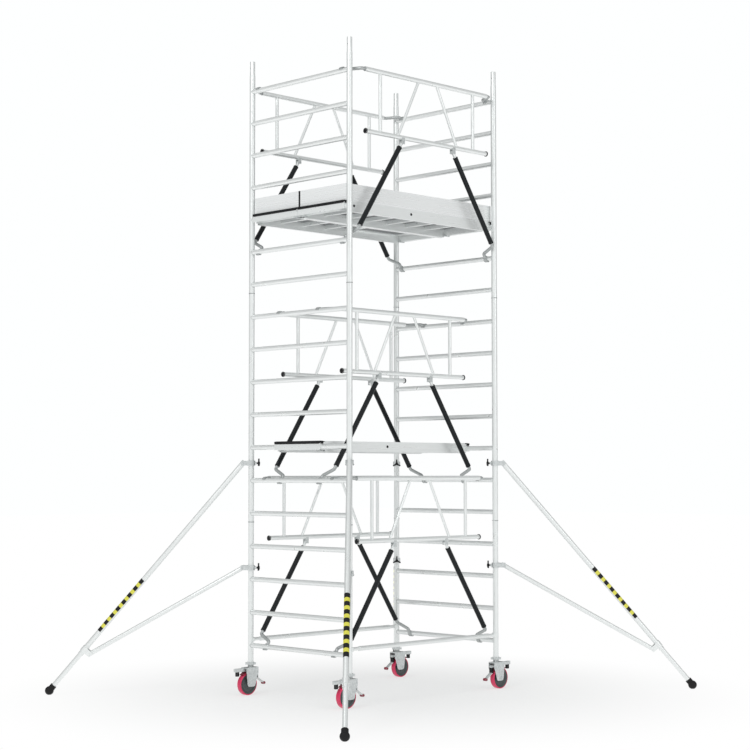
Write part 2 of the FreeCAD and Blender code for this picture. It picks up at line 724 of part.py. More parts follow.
def make_hatch():
    """The trapdoor panel with two hinge knuckles and a finger slot."""
    middle = (hatch_start + hatch_end) / 2
    panel = block("hatch_panel", Vector(hatch_start, -hatch_half, deck_bottom + hand_gap),
                  Vector(hatch_end, hatch_half - knuckle_radius - 1, deck_top))
    slot = block("hatch_slot", Vector(middle - 45, -hatch_half + 40, 0),
                 Vector(middle + 45, -hatch_half + 70, deck_top + 15))
    members = [panel]
    for label, x in (("first", hatch_start + 40), ("last", hatch_end - 40 - knuckle_length)):
        members.append(block("hatch_leaf_" + label, Vector(x, hatch_half - 20, deck_top - knuckle_radius),
                             Vector(x + knuckle_length, hatch_half, deck_top)))
        members.append(rod("hatch_knuckle_" + label, Vector(x, hatch_half, deck_top),
                           Vector(x + knuckle_length, hatch_half, deck_top), "sizes.knuckle_radius"))
    bore = rod("hatch_bore", Vector(hatch_start, hatch_half, deck_top),
               Vector(hatch_end, hatch_half, deck_top), "sizes.hinge_pin_radius + sizes.hand_gap")
    return cut("hatch", join("hatch_solid", members), [slot, bore])


platform_rung_top = base_level + 13.5 * rung_pitch
platform_rung_middle = base_level + 6.5 * rung_pitch
platform_offset = platform_gap + half_platform
plain_platform = make_platform("plain_platform", False)
hatch_platform = make_platform("hatch_platform", True)
hatch = make_hatch()
near_place = at(0, -platform_offset, platform_rung_top)
far_place = at(0, platform_offset, platform_rung_top)
middle_place = at(0, 0, platform_rung_middle)
node("platform_top_near", plain_platform, near_place)
node("platform_top_far", hatch_platform, far_place)
node("platform_middle", hatch_platform, middle_place)
node("hatch_top", hatch, far_place)
node("hatch_middle", hatch, middle_place)


def deck_board(name, low_x, high_x, low_y, high_y):
    """One board of a deck, between two corners seen from above."""
    return block(name, Vector(low_x, low_y, deck_bottom), Vector(high_x, high_y, deck_top))


plain_deck = deck_board("plain_board", -beam_half, beam_half, -inner_half, inner_half)
hole_start = hatch_start - hatch_clearance
hole_end = hatch_end + hatch_clearance
hole_near = -hatch_half - hatch_clearance
hole_far = hatch_half + knuckle_radius + 2
open_deck = group("open_deck", [
    deck_board("open_board_left", -beam_half, hole_start, -inner_half, inner_half),
    deck_board("open_board_right", hole_end, beam_half, -inner_half, inner_half),
    deck_board("open_board_near", hole_start, hole_end, -inner_half, hole_near),
    deck_board("open_board_far", hole_start, hole_end, hole_far, inner_half),
])
node("deck_panels", group("deck_panels", [
    placed("deck_near", plain_deck, near_place),
    placed("deck_far", open_deck, far_place),
    placed("deck_middle", open_deck, middle_place),
]))


# ----------------------------------------------------------- toe boards
board_low = platform_rung_top + beam_above
board_high = board_low + toe_height
board_edge = platform_gap + platform_width
end_edge = half_length - 1
corner_x = end_edge - toe_corner_length
corner_y = board_edge - toe_corner_width
boards = []
for label, side in (("near", -1), ("far", 1)):
    faces = sorted((side * board_edge, side * (board_edge - toe_thickness)))
    boards.append(block("toe_board_" + label, Vector(-corner_x, faces[0], board_low),
                        Vector(corner_x, faces[1], board_high)))
for label, side in (("left", -1), ("right", 1)):
    faces = sorted((side * end_edge, side * (end_edge - toe_thickness)))
    spans = (("near", -corner_y, -toe_divider_half), ("far", toe_divider_half, corner_y))
    for part, low_y, high_y in spans:
        boards.append(block("toe_end_%s_%s" % (label, part), Vector(faces[0], low_y, board_low),
                            Vector(faces[1], high_y, board_high)))
node("toe_boards", group("toe_boards", boards))


# ------------------------------------------------------ platform fittings
wind_claw = extruded("wind_claw", [
    ("-sizes.hook_back - 6", "-38"),
    ("18", "-38"),
    ("21", "-35"),
    ("18", "-31"),
    ("-sizes.hook_back", "-31"),
    ("-sizes.hook_back", "-16"),
    ("-sizes.hook_back - 6", "-16"),
], "20")
end_strip = extruded("end_strip", [
    ("-24", "sizes.end_top"),
    ("sizes.hook_reach - 18", "sizes.end_top"),
    ("sizes.hook_reach - 9", "sizes.end_top - 3"),
    ("sizes.hook_reach - 3", "sizes.end_top - 10"),
    ("sizes.hook_reach", "sizes.beam_above - sizes.end_strip_drop"),
    ("sizes.hook_reach", "sizes.beam_above"),
    ("-24", "sizes.beam_above"),
], "sizes.platform_width")
fittings = []
decks = (("near", near_place), ("far", far_place), ("middle", middle_place))
for deck_name, deck_place in decks:
    for end_name, x, turn in (("left", -half_length, 180), ("right", half_length, 0)):
        end_place = deck_place.multiply(at(x, 0, 0, turn))
        fittings.append(placed("strip_%s_%s" % (deck_name, end_name), end_strip, end_place))
        for claw_name, claw_y in (("first", -half_platform + 48), ("second", half_platform - 48)):
            claw_place = deck_place.multiply(at(x, claw_y, 0, turn))
            fittings.append(placed("wind_%s_%s_%s" % (deck_name, end_name, claw_name), wind_claw, claw_place))
for label, side in (("left", -1), ("right", 1)):
    faces = sorted((side * (end_edge + 1), side * (end_edge - toe_thickness - 3)))
    fittings.append(block("toe_divider_" + label, Vector(faces[0], -toe_divider_half, board_low),
                          Vector(faces[1], toe_divider_half, board_high)))
    for part, sign in (("near", -1), ("far", 1)):
        spans_x = sorted((side * end_edge, side * corner_x))
        spans_y = sorted((sign * board_edge, sign * corner_y))
        name = "toe_corner_%s_%s" % (label, part)
        whole = block(name + "_whole", Vector(spans_x[0], spans_y[0], board_low),
                      Vector(spans_x[1], spans_y[1], board_high))
        inner_x = sorted((side * (end_edge - toe_thickness), side * (corner_x - 20)))
        inner_y = sorted((sign * (board_edge - toe_thickness), sign * (corner_y - 20)))
        hollow = block(name + "_hollow", Vector(inner_x[0], inner_y[0], board_low - 5),
                       Vector(inner_x[1], inner_y[1], board_high + 5))
        fittings.append(cut(name, whole, [hollow]))
node("platform_fittings", group("platform_fittings", fittings))


# -------------------------------------------------------- adjusting nuts
def make_nut():
    """The winged nut that carries the upright on the threaded spindle."""
    barrel = rod("nut_barrel", Vector(0, 0, -nut_height), Vector(0, 0, 0),
                 "sizes.spindle_radius + sizes.nut_wall")
    half = nut_wing_width / 2
    reach = nut_wing_reach
    wing_one = block("nut_wing_one", Vector(-reach, -half, -nut_height), Vector(reach, half, -5))
    wing_two = block("nut_wing_two", Vector(-half, -reach, -nut_height), Vector(half, reach, -5))
    thread = rod("nut_thread", Vector(0, 0, -nut_height - 5), Vector(0, 0, 5),
                 "sizes.spindle_radius + sizes.hand_gap")
    return cut("nut", join("nut_solid", [barrel, wing_one, wing_two]), [thread])


corners = {"a": (-1, 1), "b": (-1, -1), "c": (1, 1), "d": (1, -1)}
nut = make_nut()
nut_copies = []
for letter, (side_x, side_y) in corners.items():
    spot = at(side_x * half_length, side_y * half_width, base_level, 45)
    nut_copies.append(placed("nut_" + letter, nut, spot))
node("adjusting_nuts", group("adjusting_nuts", nut_copies))


# --------------------------------------------------------------- castors
axle_height = wheel_radius
fork_inside = fork_width / 2 - fork_plate
plate_under = fork_top - fork_crown
pedal_x = wheel_trail - wheel_radius + pedal_inset
pedal_height = axle_height + wheel_radius + pedal_rise


def make_spindle():
    """Threaded leg, thrust collar, kingpin and kingpin head in one turned piece."""
    return turned("spindle", [
        ("0", "sizes.fork_top - sizes.fork_crown - 8.6"),
        ("sizes.kingpin_radius + 6", "sizes.fork_top - sizes.fork_crown - 8.6"),
        ("sizes.kingpin_radius + 6", "sizes.fork_top - sizes.fork_crown - 0.4"),
        ("sizes.kingpin_radius", "sizes.fork_top - sizes.fork_crown - 0.4"),
        ("sizes.kingpin_radius", "sizes.fork_top + 0.4"),
        ("sizes.spindle_radius + sizes.spindle_collar", "sizes.fork_top + 0.4"),
        ("sizes.spindle_radius + sizes.spindle_collar", "sizes.base_level - sizes.nut_height - 0.5"),
        ("sizes.spindle_radius", "sizes.base_level - sizes.nut_height - 0.5"),
        ("sizes.spindle_radius", "sizes.base_level + sizes.spindle_inside - 4"),
        ("sizes.spindle_radius - 3", "sizes.base_level + sizes.spindle_inside"),
        ("0", "sizes.base_level + sizes.spindle_inside"),
    ])


def make_fork():
    """Pressed fork with broad cheeks, a brake lug, its fixed axle, nuts and pedal pin."""
    trail = "sizes.wheel_trail"
    axle = "sizes.wheel_radius"
    shell = extruded("fork_shell", [
        (trail + " - sizes.fork_back", "sizes.fork_top"),
        (trail + " + 40", "sizes.fork_top"),
        (trail + " + 36", "sizes.fork_top - 40"),
        (trail + " + 24", axle),
        (trail + " + 17", axle + " - 17"),
        (trail, axle + " - 24"),
        (trail + " - 48", axle + " - 24"),
        (trail + " - 64", axle + " - 17"),
        (trail + " - 71", axle),
        (trail + " - sizes.fork_back + 14", axle + " + sizes.wheel_radius - 34"),
        (trail + " - sizes.fork_back", axle + " + sizes.wheel_radius - 8"),
    ], "sizes.fork_width")
    hollow = block("fork_hollow", Vector(wheel_trail - 2 * wheel_radius, -fork_inside, 0),
                   Vector(wheel_trail + 2 * wheel_radius, fork_inside, plate_under))
    kingpin = rod("fork_kingpin_hole", Vector(0, 0, plate_under - 10), Vector(0, 0, fork_top + 10),
                  "sizes.kingpin_radius + sizes.running_fit")
    outside = fork_width / 2
    axle_bar = rod("fork_axle", Vector(wheel_trail, -outside - 9, axle_height),
                   Vector(wheel_trail, outside + 9, axle_height), "sizes.axle_radius")
    pedal_pin = rod("fork_pedal_pin", Vector(pedal_x, -outside - 3, pedal_height),
                    Vector(pedal_x, outside + 3, pedal_height), "sizes.pedal_pin_radius")
    solids = [axle_bar, pedal_pin]
    for label, side in (("near", -1), ("far", 1)):
        solids.append(rod("fork_nut_" + label, Vector(wheel_trail, side * outside, axle_height),
                          Vector(wheel_trail, side * (outside + 6), axle_height), "11"))
    solids.append(block("fork_lug", Vector(wheel_trail - 20, -14, fork_top - 34),
                        Vector(wheel_trail + 148, 14, fork_top - 5)))
    solids.append(block("fork_stop", Vector(wheel_trail + 104, -12, fork_top - 72),
                        Vector(wheel_trail + 130, 12, fork_top - 30)))
    open_shell = cut("fork_open_shell", shell, [hollow, kingpin])
    return join("fork", [open_shell] + solids)


def make_wheel():
    """Wheel turned about its axle: hub, dished disc and tread."""
    half = "sizes.wheel_width / 2"
    rim = "sizes.wheel_radius"
    wheel = turned("wheel_upright", [
        ("sizes.axle_radius + sizes.running_fit", "-%s - sizes.hub_reach" % half),
        ("20", "-%s - sizes.hub_reach" % half),
        ("24", "-%s + 9" % half),
        (rim + " - 30", "-%s + 9" % half),
        (rim + " - 26", "-%s + 1" % half),
        (rim + " - 5", "-%s" % half),
        (rim, "-%s + 7" % half),
        (rim, "%s - 7" % half),
        (rim + " - 5", half),
        (rim + " - 26", "%s - 1" % half),
        (rim + " - 30", "%s - 9" % half),
        ("24", "%s - 9" % half),
        ("20", "%s + sizes.hub_reach" % half),
        ("sizes.axle_radius + sizes.running_fit", "%s + sizes.hub_reach" % half),
    ])
    lying = FreeCAD.Placement(Vector(wheel_trail, 0, axle_height), FreeCAD.Rotation(Vector(1, 0, 0), 90))
    return placed("wheel", wheel, lying)


def make_pedal():
    """Foot brake: an eye on the fork pin, a shoe that hangs by the tread, and a lever with a round tip."""
    eye_centre = Vector(pedal_x, 0, pedal_height)
    elbow = eye_centre + Vector(-16, 0, -58)
    tip = Vector(pedal_x - 100, 0, pedal_height - 115)
    eye = rod("pedal_eye", eye_centre - ACROSS * 30, eye_centre + ACROSS * 30, "10")
    run = tip.sub(elbow)
    frame = FreeCAD.Placement(elbow, FreeCAD.Rotation(Vector(1, 0, 0), run))
    lever = block("pedal_lever", Vector(-4, -16, -5), Vector(run.Length, 16, 5), frame)
    knob = rod("pedal_knob", tip - ACROSS * 20, tip + ACROSS * 20, "12")
    shoe = block("pedal_shoe", eye_centre + Vector(-22, -18, -60), eye_centre + Vector(-6, 18, 0))
    hole = rod("pedal_hole", eye_centre - ACROSS * 40, eye_centre + ACROSS * 40,
               "sizes.pedal_pin_radius + sizes.hand_gap")
    return cut("pedal", join("pedal_solid", [eye, lever, knob, shoe]), [hole])


castor_pieces = {
    "castor_spindle": make_spindle(),
    "castor_fork": make_fork(),
    "castor_wheel": make_wheel(),
    "brake_pedal": make_pedal(),
}
for letter, (side_x, side_y) in corners.items():
    spot = at(side_x * half_length, side_y * half_width, 0, 0 if side_x > 0 else 180)
    for piece_name, piece in castor_pieces.items():
        node("%s_%s" % (piece_name, letter), piece, spot)


# ----------------------------------------------------------- stabilisers
leg_start = Vector(hinge_offset, 0, leg_start_height)
foot_centre = Vector(leg_spread, 0, boot_height)
leg_run = foot_centre.sub(leg_start)
leg_length = leg_run.Length
leg_way = foot_centre.sub(leg_start).normalize()
leg_pitch = math.degrees(math.atan2(-leg_way.z, leg_way.x))
leg_frame = FreeCAD.Placement(leg_start, FreeCAD.Rotation(ACROSS, leg_pitch))
leg_end = leg_length - leg_clear
collar_spot = leg_length - collar_clear
brace_end = leg_frame.multVec(Vector(collar_spot, 0, -collar_drop))
brace_start = Vector(hinge_offset, 0, brace_start_height)
brace_way = brace_end.sub(brace_start).normalize()


def make_knob():
    """A three-armed hand knob on its stud, on the inner side of a coupler."""
    start = -clamp_radius - knob_stand
    solids = [
        rod("knob_stud", Vector(start, 0, 0), Vector(start - 8, 0, 0), "7"),
        rod("knob_hub", Vector(start - 8, 0, 0), Vector(start - 30, 0, 0), "sizes.knob_hub_radius"),
    ]
    for index in range(3):
        angle = math.radians(90 + 120 * index)
        middle = Vector(start - 19, 0, 0)
        tip = middle + Vector(0, knob_reach * math.cos(angle), knob_reach * math.sin(angle))
        solids.append(rod("knob_arm_%s" % "abc"[index], middle, tip, "sizes.knob_arm_radius"))
    return join("star_knob", solids)


def make_clamp():
    """Coupler round the upright with cheeks, a hinge bolt and a three-armed knob."""
    half = clamp_height / 2
    shell = rod("clamp_shell", Vector(0, 0, -half), Vector(0, 0, half), "sizes.clamp_radius")
    boss = rod("clamp_boss", Vector(-20, 0, 0), Vector(-clamp_radius - knob_stand, 0, 0), "12")
    solids = [shell, boss]
    for label, side in (("near", -1), ("far", 1)):
        inner = leg_radius + cheek_gap
        faces = sorted((side * inner, side * (inner + cheek_thickness)))
        solids.append(block("clamp_cheek_" + label, Vector(8, faces[0], -half + 2),
                            Vector(hinge_offset + 18, faces[1], half - 2)))
    bore = rod("clamp_bore", Vector(0, 0, -clamp_height), Vector(0, 0, clamp_height),
               "sizes.upright_radius + sizes.hand_gap")
    grip = cut("clamp_grip", join("clamp_solid", solids), [bore])
    bolt_half = ACROSS * (leg_radius + 11)
    pivot = Vector(hinge_offset, 0, 0)
    bolt = rod("clamp_bolt", pivot - bolt_half, pivot + bolt_half, "sizes.bolt_radius")
    return group("clamp", [join("clamp_body", [grip, bolt]), make_knob()])


def drilled(name, pipe, points):
    """A tube with a bolt hole across it at each point."""
    holes = []
    for index, point in enumerate(points):
        holes.append(rod("%s_bolt_hole_%s" % (name, "ab"[index]), point - ACROSS * 50,
                         point + ACROSS * 50, "sizes.bolt_radius"))
    return cut(name, pipe, holes)


def make_collar():
    """The ring on the leg and its two cheeks, where the brace is bolted."""
    middle = leg_start + leg_way * collar_spot
    ring = rod("collar_ring", middle - leg_way * 30, middle + leg_way * 25,
               "sizes.leg_radius + sizes.collar_wall")
    solids = [ring]
    for label, side in (("near", -1), ("far", 1)):
        inner = brace_radius + cheek_gap
        faces = sorted((side * inner, side * (inner + cheek_thickness)))
        solids.append(block("collar_cheek_" + label, Vector(collar_spot - 26, faces[0], -collar_drop - 17),
                            Vector(collar_spot + 22, faces[1], 0), leg_frame))
    bore = rod("collar_bore", middle - leg_way * 60, middle + leg_way * 60, "sizes.leg_radius")
    collar = cut("collar_body", join("collar_solid", solids), [bore])
    bolt_half = ACROSS * (brace_radius + 9)
    bolt = rod("collar_bolt", brace_end - bolt_half, brace_end + bolt_half, "sizes.bolt_radius")
    return join("collar", [collar, bolt])


def make_leg():
    """Clamps, outer tube, brace and the collar where the brace meets the leg."""
    clamp = make_clamp()
    outer = tube("leg_pipe", leg_start - leg_way * 20, leg_start + leg_way * leg_end,
                 "sizes.leg_radius", "sizes.leg_wall")
    brace = tube("brace_pipe", brace_start - brace_way * 20, brace_end + brace_way * 18,
                 "sizes.brace_radius", "sizes.brace_wall")
    return group("stabiliser_leg", [
        placed("upper_clamp", clamp, at(0, 0, leg_start_height)),
        placed("lower_clamp", clamp, at(0, 0, brace_start_height)),
        drilled("leg_tube", outer, [leg_start]),
        drilled("brace_tube", brace, [brace_start, brace_end]),
        make_collar(),
    ])


def make_foot():
    """Sliding inner tube with a rubber boot cut flat where it stands."""
    inner_end = foot_centre - leg_way * 12
    inner = tube("foot_tube", leg_start + leg_way * (leg_end - leg_overlap), inner_end,
                 "sizes.foot_tube_radius", "sizes.brace_wall")
    ball = doc.addObject("Part::Sphere", "boot_ball")
    ball.setExpression("Radius", "sizes.boot_radius")
    ball.Placement = at(foot_centre.x, 0, foot_centre.z)
    cuff = rod("boot_cuff", foot_centre, foot_centre - leg_way * cuff_length,
               "sizes.foot_tube_radius + sizes.cuff_wall")
    socket = rod("boot_socket", inner_end, foot_centre - leg_way * 2 * cuff_length, "sizes.foot_tube_radius")
    floor = block("boot_floor", Vector(leg_spread - 200, -200, -200), Vector(leg_spread + 200, 200, 0))
    boot = cut("boot", join("boot_solid", [ball, cuff]), [socket, floor])
    return group("stabiliser_foot", [inner, boot])


leg = make_leg()
foot = make_foot()
for letter, (side_x, side_y) in corners.items():
    azimuth = math.degrees(math.atan2(side_y, side_x))
    spot = at(side_x * half_length, side_y * half_width, 0, azimuth)
    node("stabiliser_leg_" + letter, leg, spot)
    node("stabiliser_foot_" + letter, foot, spot)


# ------------------------------------------------------------- write out
doc.recompute()
faults = []
for item in doc.Objects:
    if "Invalid" in item.State or "Error" in item.State:
        faults.append(item.Name)
for item in nodes:
    if item.Shape.isNull() or not item.Shape.isValid():
        faults.append(item.Label + " shape")
if faults:
    raise RuntimeError("pieces that did not build: " + ", ".join(faults))

os.makedirs("parts", exist_ok=True)
for item in nodes:
    item.Shape.exportStep("parts/" + item.Label + ".step")
print(len(nodes), "pieces written")
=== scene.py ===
# %% [markdown]
# A mobile tower scaffold, finished for looks.
# The frame that this script loads already holds every tube, hook and wheel at its true size and place. This
# lesson goes round the tower and gives each piece its surface: satin aluminium, dull castings, zinc, dark
# plastic, red polyurethane. It also models the things that a plain solid leaves out, such as weld beads,
# ribbed rungs, striped tape, screw threads and the build-up of a castor wheel.
# Everything is in metres, Z is up, and the long side of the tower runs along X.

# %% Load the frame
import bpy
import bmesh
import json
import math
from mathutils import Matrix, Vector


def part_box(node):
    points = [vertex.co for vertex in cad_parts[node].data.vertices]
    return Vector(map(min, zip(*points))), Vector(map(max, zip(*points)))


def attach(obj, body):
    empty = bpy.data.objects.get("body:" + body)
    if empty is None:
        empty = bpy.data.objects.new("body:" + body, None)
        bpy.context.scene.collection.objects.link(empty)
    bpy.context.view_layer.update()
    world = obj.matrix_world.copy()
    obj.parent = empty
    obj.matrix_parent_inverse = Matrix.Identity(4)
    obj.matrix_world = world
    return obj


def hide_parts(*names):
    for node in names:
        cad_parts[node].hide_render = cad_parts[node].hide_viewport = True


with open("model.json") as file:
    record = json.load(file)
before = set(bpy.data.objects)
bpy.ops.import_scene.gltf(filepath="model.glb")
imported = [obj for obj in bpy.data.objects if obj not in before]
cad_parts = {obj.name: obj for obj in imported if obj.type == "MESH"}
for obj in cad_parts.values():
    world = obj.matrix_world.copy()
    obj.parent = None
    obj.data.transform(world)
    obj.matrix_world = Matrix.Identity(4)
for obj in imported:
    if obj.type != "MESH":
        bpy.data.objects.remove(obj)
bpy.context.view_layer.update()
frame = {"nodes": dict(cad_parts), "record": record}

record = frame["record"]
joints = {joint["name"]: joint for joint in record["behaviour"]["joints"]}
mounts = {mount["name"]: mount for mount in record["mounts"]}
body_of_node = {node: body for body, nodes in record["behaviour"]["bodies"].items() for node in nodes}
CORNERS = {"a": (-1, 1), "b": (-1, -1), "c": (1, 1), "d": (1, -1)}

# %% [markdown]
# The camera stands a little above floor height, well back from one corner, with a long lens, so that the
# uprights stay almost parallel. Its place and heading are plain numbers in the tower's own frame. The floor
# is a wide pale sheet, and the sky behind it is white, so the tower stands in a bright studio.

# %% Camera
CAMERA_PLACE = Vector((-11.3098, -11.4232, 2.0094))
CAMERA_HEADING = math.radians(44.723)
CAMERA_TILT = math.radians(3.2639)
CAMERA_ROLL = math.radians(0.05)
camera_data = bpy.data.cameras.new("studio_camera")
camera_data.lens = 82.89
camera_data.sensor_width = 36
camera_data.clip_end = 200
camera = bpy.data.objects.new("studio_camera", camera_data)
camera.location = CAMERA_PLACE
camera.rotation_euler = (math.pi / 2 + CAMERA_TILT, CAMERA_ROLL, -CAMERA_HEADING)
bpy.context.collection.objects.link(camera)
bpy.context.scene.camera = camera
print("camera at", tuple(CAMERA_PLACE))

# %% [markdown]
# A material here is a small network. `Network` starts one and has short ways to add nodes and wire them, so
# that the finishes below read as short recipes. Values that are the same all over a surface go straight on
# the shader's own sockets.

# %% Material helpers
GLOSS_SPREAD = 0.08


def add_node(tree, kind, links, settings):
    """A new node, with its values set and its inputs wired."""
    node = tree.nodes.new(kind)
    for key, value in settings.items():
        if key in node.inputs:
            node.inputs[key].default_value = value
        else:
            setattr(node, key, value)
    for socket, source in (links or {}).items():
        tree.links.new(source, node.inputs[socket])
    return node


class Network:
    """A material's node tree with short ways to add and wire nodes."""

    def __init__(self, name):
        self.material = bpy.data.materials.new(name)
        self.material.use_nodes = True
        self.tree = self.material.node_tree
        self.shader = self.tree.nodes["Principled BSDF"]

    def add(self, kind, links=None, **settings):
        return add_node(self.tree, kind, links, settings)

    def set(self, **values):
        for key, value in values.items():
            self.shader.inputs[key.replace("_", " ")].default_value = value

    def wire(self, source, socket):
        self.tree.links.new(source, self.shader.inputs[socket])

    def place(self, scale=(1, 1, 1)):
        """The piece's own coordinates in metres, stretched by scale."""
        spot = self.add("ShaderNodeTexCoord")
        mapping = self.add("ShaderNodeMapping", {"Vector": spot.outputs["Object"]}, Scale=scale)
        return mapping.outputs["Vector"]

    def noise(self, scale, detail=3.0, stretch=(1, 1, 1)):
        return self.add("ShaderNodeTexNoise", {"Vector": self.place(stretch)}, Scale=scale,
                        Detail=detail).outputs["Fac"]

    def spread(self, source, low, high, from_low=0.3, from_high=0.7):
        node = self.add("ShaderNodeMapRange", {"Value": source})
        node.inputs["From Min"].default_value = from_low
        node.inputs["From Max"].default_value = from_high
        node.inputs["To Min"].default_value = low
        node.inputs["To Max"].default_value = high
        return node.outputs["Result"]

    def blend(self, amount, first, second):
        node = self.add("ShaderNodeMix", data_type="RGBA")
        self.tree.links.new(amount, node.inputs["Factor"])
        colour_out = [socket for socket in node.outputs if socket.type == "RGBA"][0]
        colour_in = [socket for socket in node.inputs if socket.type == "RGBA"]
        colour_in[0].default_value = (*first, 1)
        colour_in[1].default_value = (*second, 1)
        return colour_out

    def bump(self, height, strength, distance):
        node = self.add("ShaderNodeBump", {"Height": height}, Strength=strength, Distance=distance)
        self.wire(node.outputs["Normal"], "Normal")


def finish(name, light, dark, metallic, roughness, grain, stretch=(1, 1, 1), relief=0.0002, worn=None):
    """A surface whose colour, gloss and relief follow one grain, or whose gloss follows a coarser one."""
    net = Network(name)
    pattern = net.noise(grain, stretch=stretch)
    net.wire(net.blend(net.spread(pattern, 0, 1), light, dark), "Base Color")
    gloss = net.noise(worn, detail=2.0) if worn else pattern
    net.wire(net.spread(gloss, roughness - GLOSS_SPREAD, roughness + GLOSS_SPREAD), "Roughness")
    net.set(Metallic=metallic)
    net.bump(pattern, 0.25, relief)
    return net


# %% [markdown]
# Aluminium tube is extruded, so it carries faint lines along its length, and it is anodised or washed rather
# than polished, so reflections are soft. The uprights, the rails and the rungs run in three directions.
# One finish with a fine, even grain suits all of them, and a second, coarser noise makes some stretches of
# tube a touch duller, as handling does. Castings and zinc plate are duller still and have their own grain.

# %% Metal finishes
tube_metal = finish("satin_aluminium", (0.88, 0.905, 0.90), (0.84, 0.865, 0.86), 0.55, 0.35, 260.0,
                    stretch=(1, 1, 0.15), relief=0.00008, worn=7.0).material
cast_metal = finish("cast_aluminium", (0.54, 0.565, 0.565), (0.39, 0.41, 0.41), 0.6, 0.42, 420.0,
                    relief=0.0003).material
board_metal = finish("toe_board_aluminium", (0.93, 0.95, 0.95), (0.89, 0.91, 0.91), 0.3, 0.30, 60.0,
                     stretch=(0.02, 0.02, 1), relief=0.00004).material
deck_metal = finish("deck_beam_aluminium", (0.89, 0.915, 0.91), (0.84, 0.865, 0.86), 0.4, 0.34, 90.0,
                    stretch=(0.02, 0.2, 1), relief=0.00005).material
zinc_plate = finish("zinc_plate", (0.72, 0.75, 0.75), (0.56, 0.59, 0.59), 0.6, 0.36, 60.0,
                    relief=0.00015).material
weld_metal = finish("weld_bead", (0.66, 0.68, 0.68), (0.45, 0.47, 0.47), 0.6, 0.42, 700.0,
                    relief=0.0006).material


# %% [markdown]
# The threaded legs need a screw thread. Cutting a real helix would cost many faces for something two
# centimetres long in the open, so the thread is relief: bands along Z at the pitch of the thread.

# %% Thread finish
def band_scale(pitch):
    """The wave texture's scale for bands one pitch apart."""
    return 2 * math.pi / (20 * pitch)


THREAD_PITCH = 0.006
thread_net = finish("threaded_zinc", (0.60, 0.62, 0.62), (0.42, 0.44, 0.44), 0.75, 0.38, 90.0)
bands = thread_net.add("ShaderNodeTexWave", {"Vector": thread_net.place()}, wave_type="BANDS",
                       bands_direction="Z", Scale=band_scale(THREAD_PITCH), Distortion=0.0)
thread_net.bump(bands.outputs["Fac"], 0.9, 0.0012)
threaded = thread_net.material

# %% [markdown]
# Plastic and rubber: the stay sleeves are smooth dark tube with a fine orange-peel skin, the moulded plugs
# and knobs are a little glossier, and the boots are matt rubber with dust in the grain. The wheel has a cast
# polyurethane tread, slightly translucent-looking and glossy, on a dark moulded centre.

# %% Plastic and rubber finishes


def black(name, light, dark, roughness, grain, relief):
    """A near-black plastic or rubber, with less shine than a lacquer has."""
    net = finish(name, light, dark, 0.0, roughness, grain, relief=relief)
    net.set(Specular_IOR_Level=0.25)
    return net.material


sleeve_plastic = black("sleeve_plastic", (0.009, 0.012, 0.014), (0.005, 0.007, 0.008), 0.42, 500.0, 0.0002)
moulded_plastic = black("moulded_plastic", (0.010, 0.011, 0.012), (0.006, 0.006, 0.007), 0.36, 300.0, 0.0002)
boot_rubber = black("boot_rubber", (0.016, 0.016, 0.017), (0.007, 0.007, 0.007), 0.62, 240.0, 0.0005)
tape_black = black("tape_black", (0.012, 0.012, 0.012), (0.006, 0.006, 0.006), 0.40, 150.0, 0.0001)
tread_net = finish("polyurethane_tread", (0.74, 0.026, 0.115), (0.62, 0.018, 0.090), 0.0, 0.34, 80.0,
                   relief=0.0002)
tread_net.set(Coat_Weight=0.25, Coat_Roughness=0.25)
tread_red = tread_net.material
wheel_core = finish("wheel_core", (0.055, 0.066, 0.068), (0.085, 0.10, 0.10), 0.1, 0.42, 200.0,
                    relief=0.0003).material
brake_red = finish("brake_lacquer", (0.30, 0.02, 0.045), (0.20, 0.012, 0.03), 0.0, 0.35, 120.0,
                   relief=0.0002).material
tape_yellow = finish("tape_yellow", (0.80, 0.77, 0.10), (0.70, 0.67, 0.07), 0.0, 0.38, 150.0,
                     relief=0.0001).material

# %% [markdown]
# The decks are resin-faced boards. Their upper face is pressed with a fine grid so that boots hold, and the
# whole board is a mid grey. The grid is relief from two crossed bands, and a slow noise dulls worn patches.

# %% Deck finish
GRID_PITCH = 0.012
deck_net = finish("resin_faced_board", (0.19, 0.20, 0.205), (0.14, 0.15, 0.155), 0.0, 0.5, 12.0,
                  relief=0.0001)
ribs = []
for direction in ("X", "Y"):
    wave = deck_net.add("ShaderNodeTexWave", {"Vector": deck_net.place()}, wave_type="BANDS",
                        bands_direction=direction, Scale=band_scale(GRID_PITCH), Distortion=0.0)
    ribs.append(wave.outputs["Fac"])
crossed = deck_net.add("ShaderNodeMath", operation="MAXIMUM")
for index, rib in enumerate(ribs):
    deck_net.tree.links.new(rib, crossed.inputs[index])
deck_net.bump(crossed.outputs["Value"], 0.5, 0.0006)
deck_board = deck_net.material
print("materials made:", len(bpy.data.materials))

# %% [markdown]
# Two helpers make pieces. `solids_of` takes a copy of a node and sorts it into its separate solids, because
# a ladder frame or a leg has parts in different materials. `finish_piece` turns vertices and faces into an
# object at the origin, shades it smooth with crisp edges, and ties it to the body that it moves with.

# %% Piece helpers
SMOOTH_UNDER = math.radians(32)


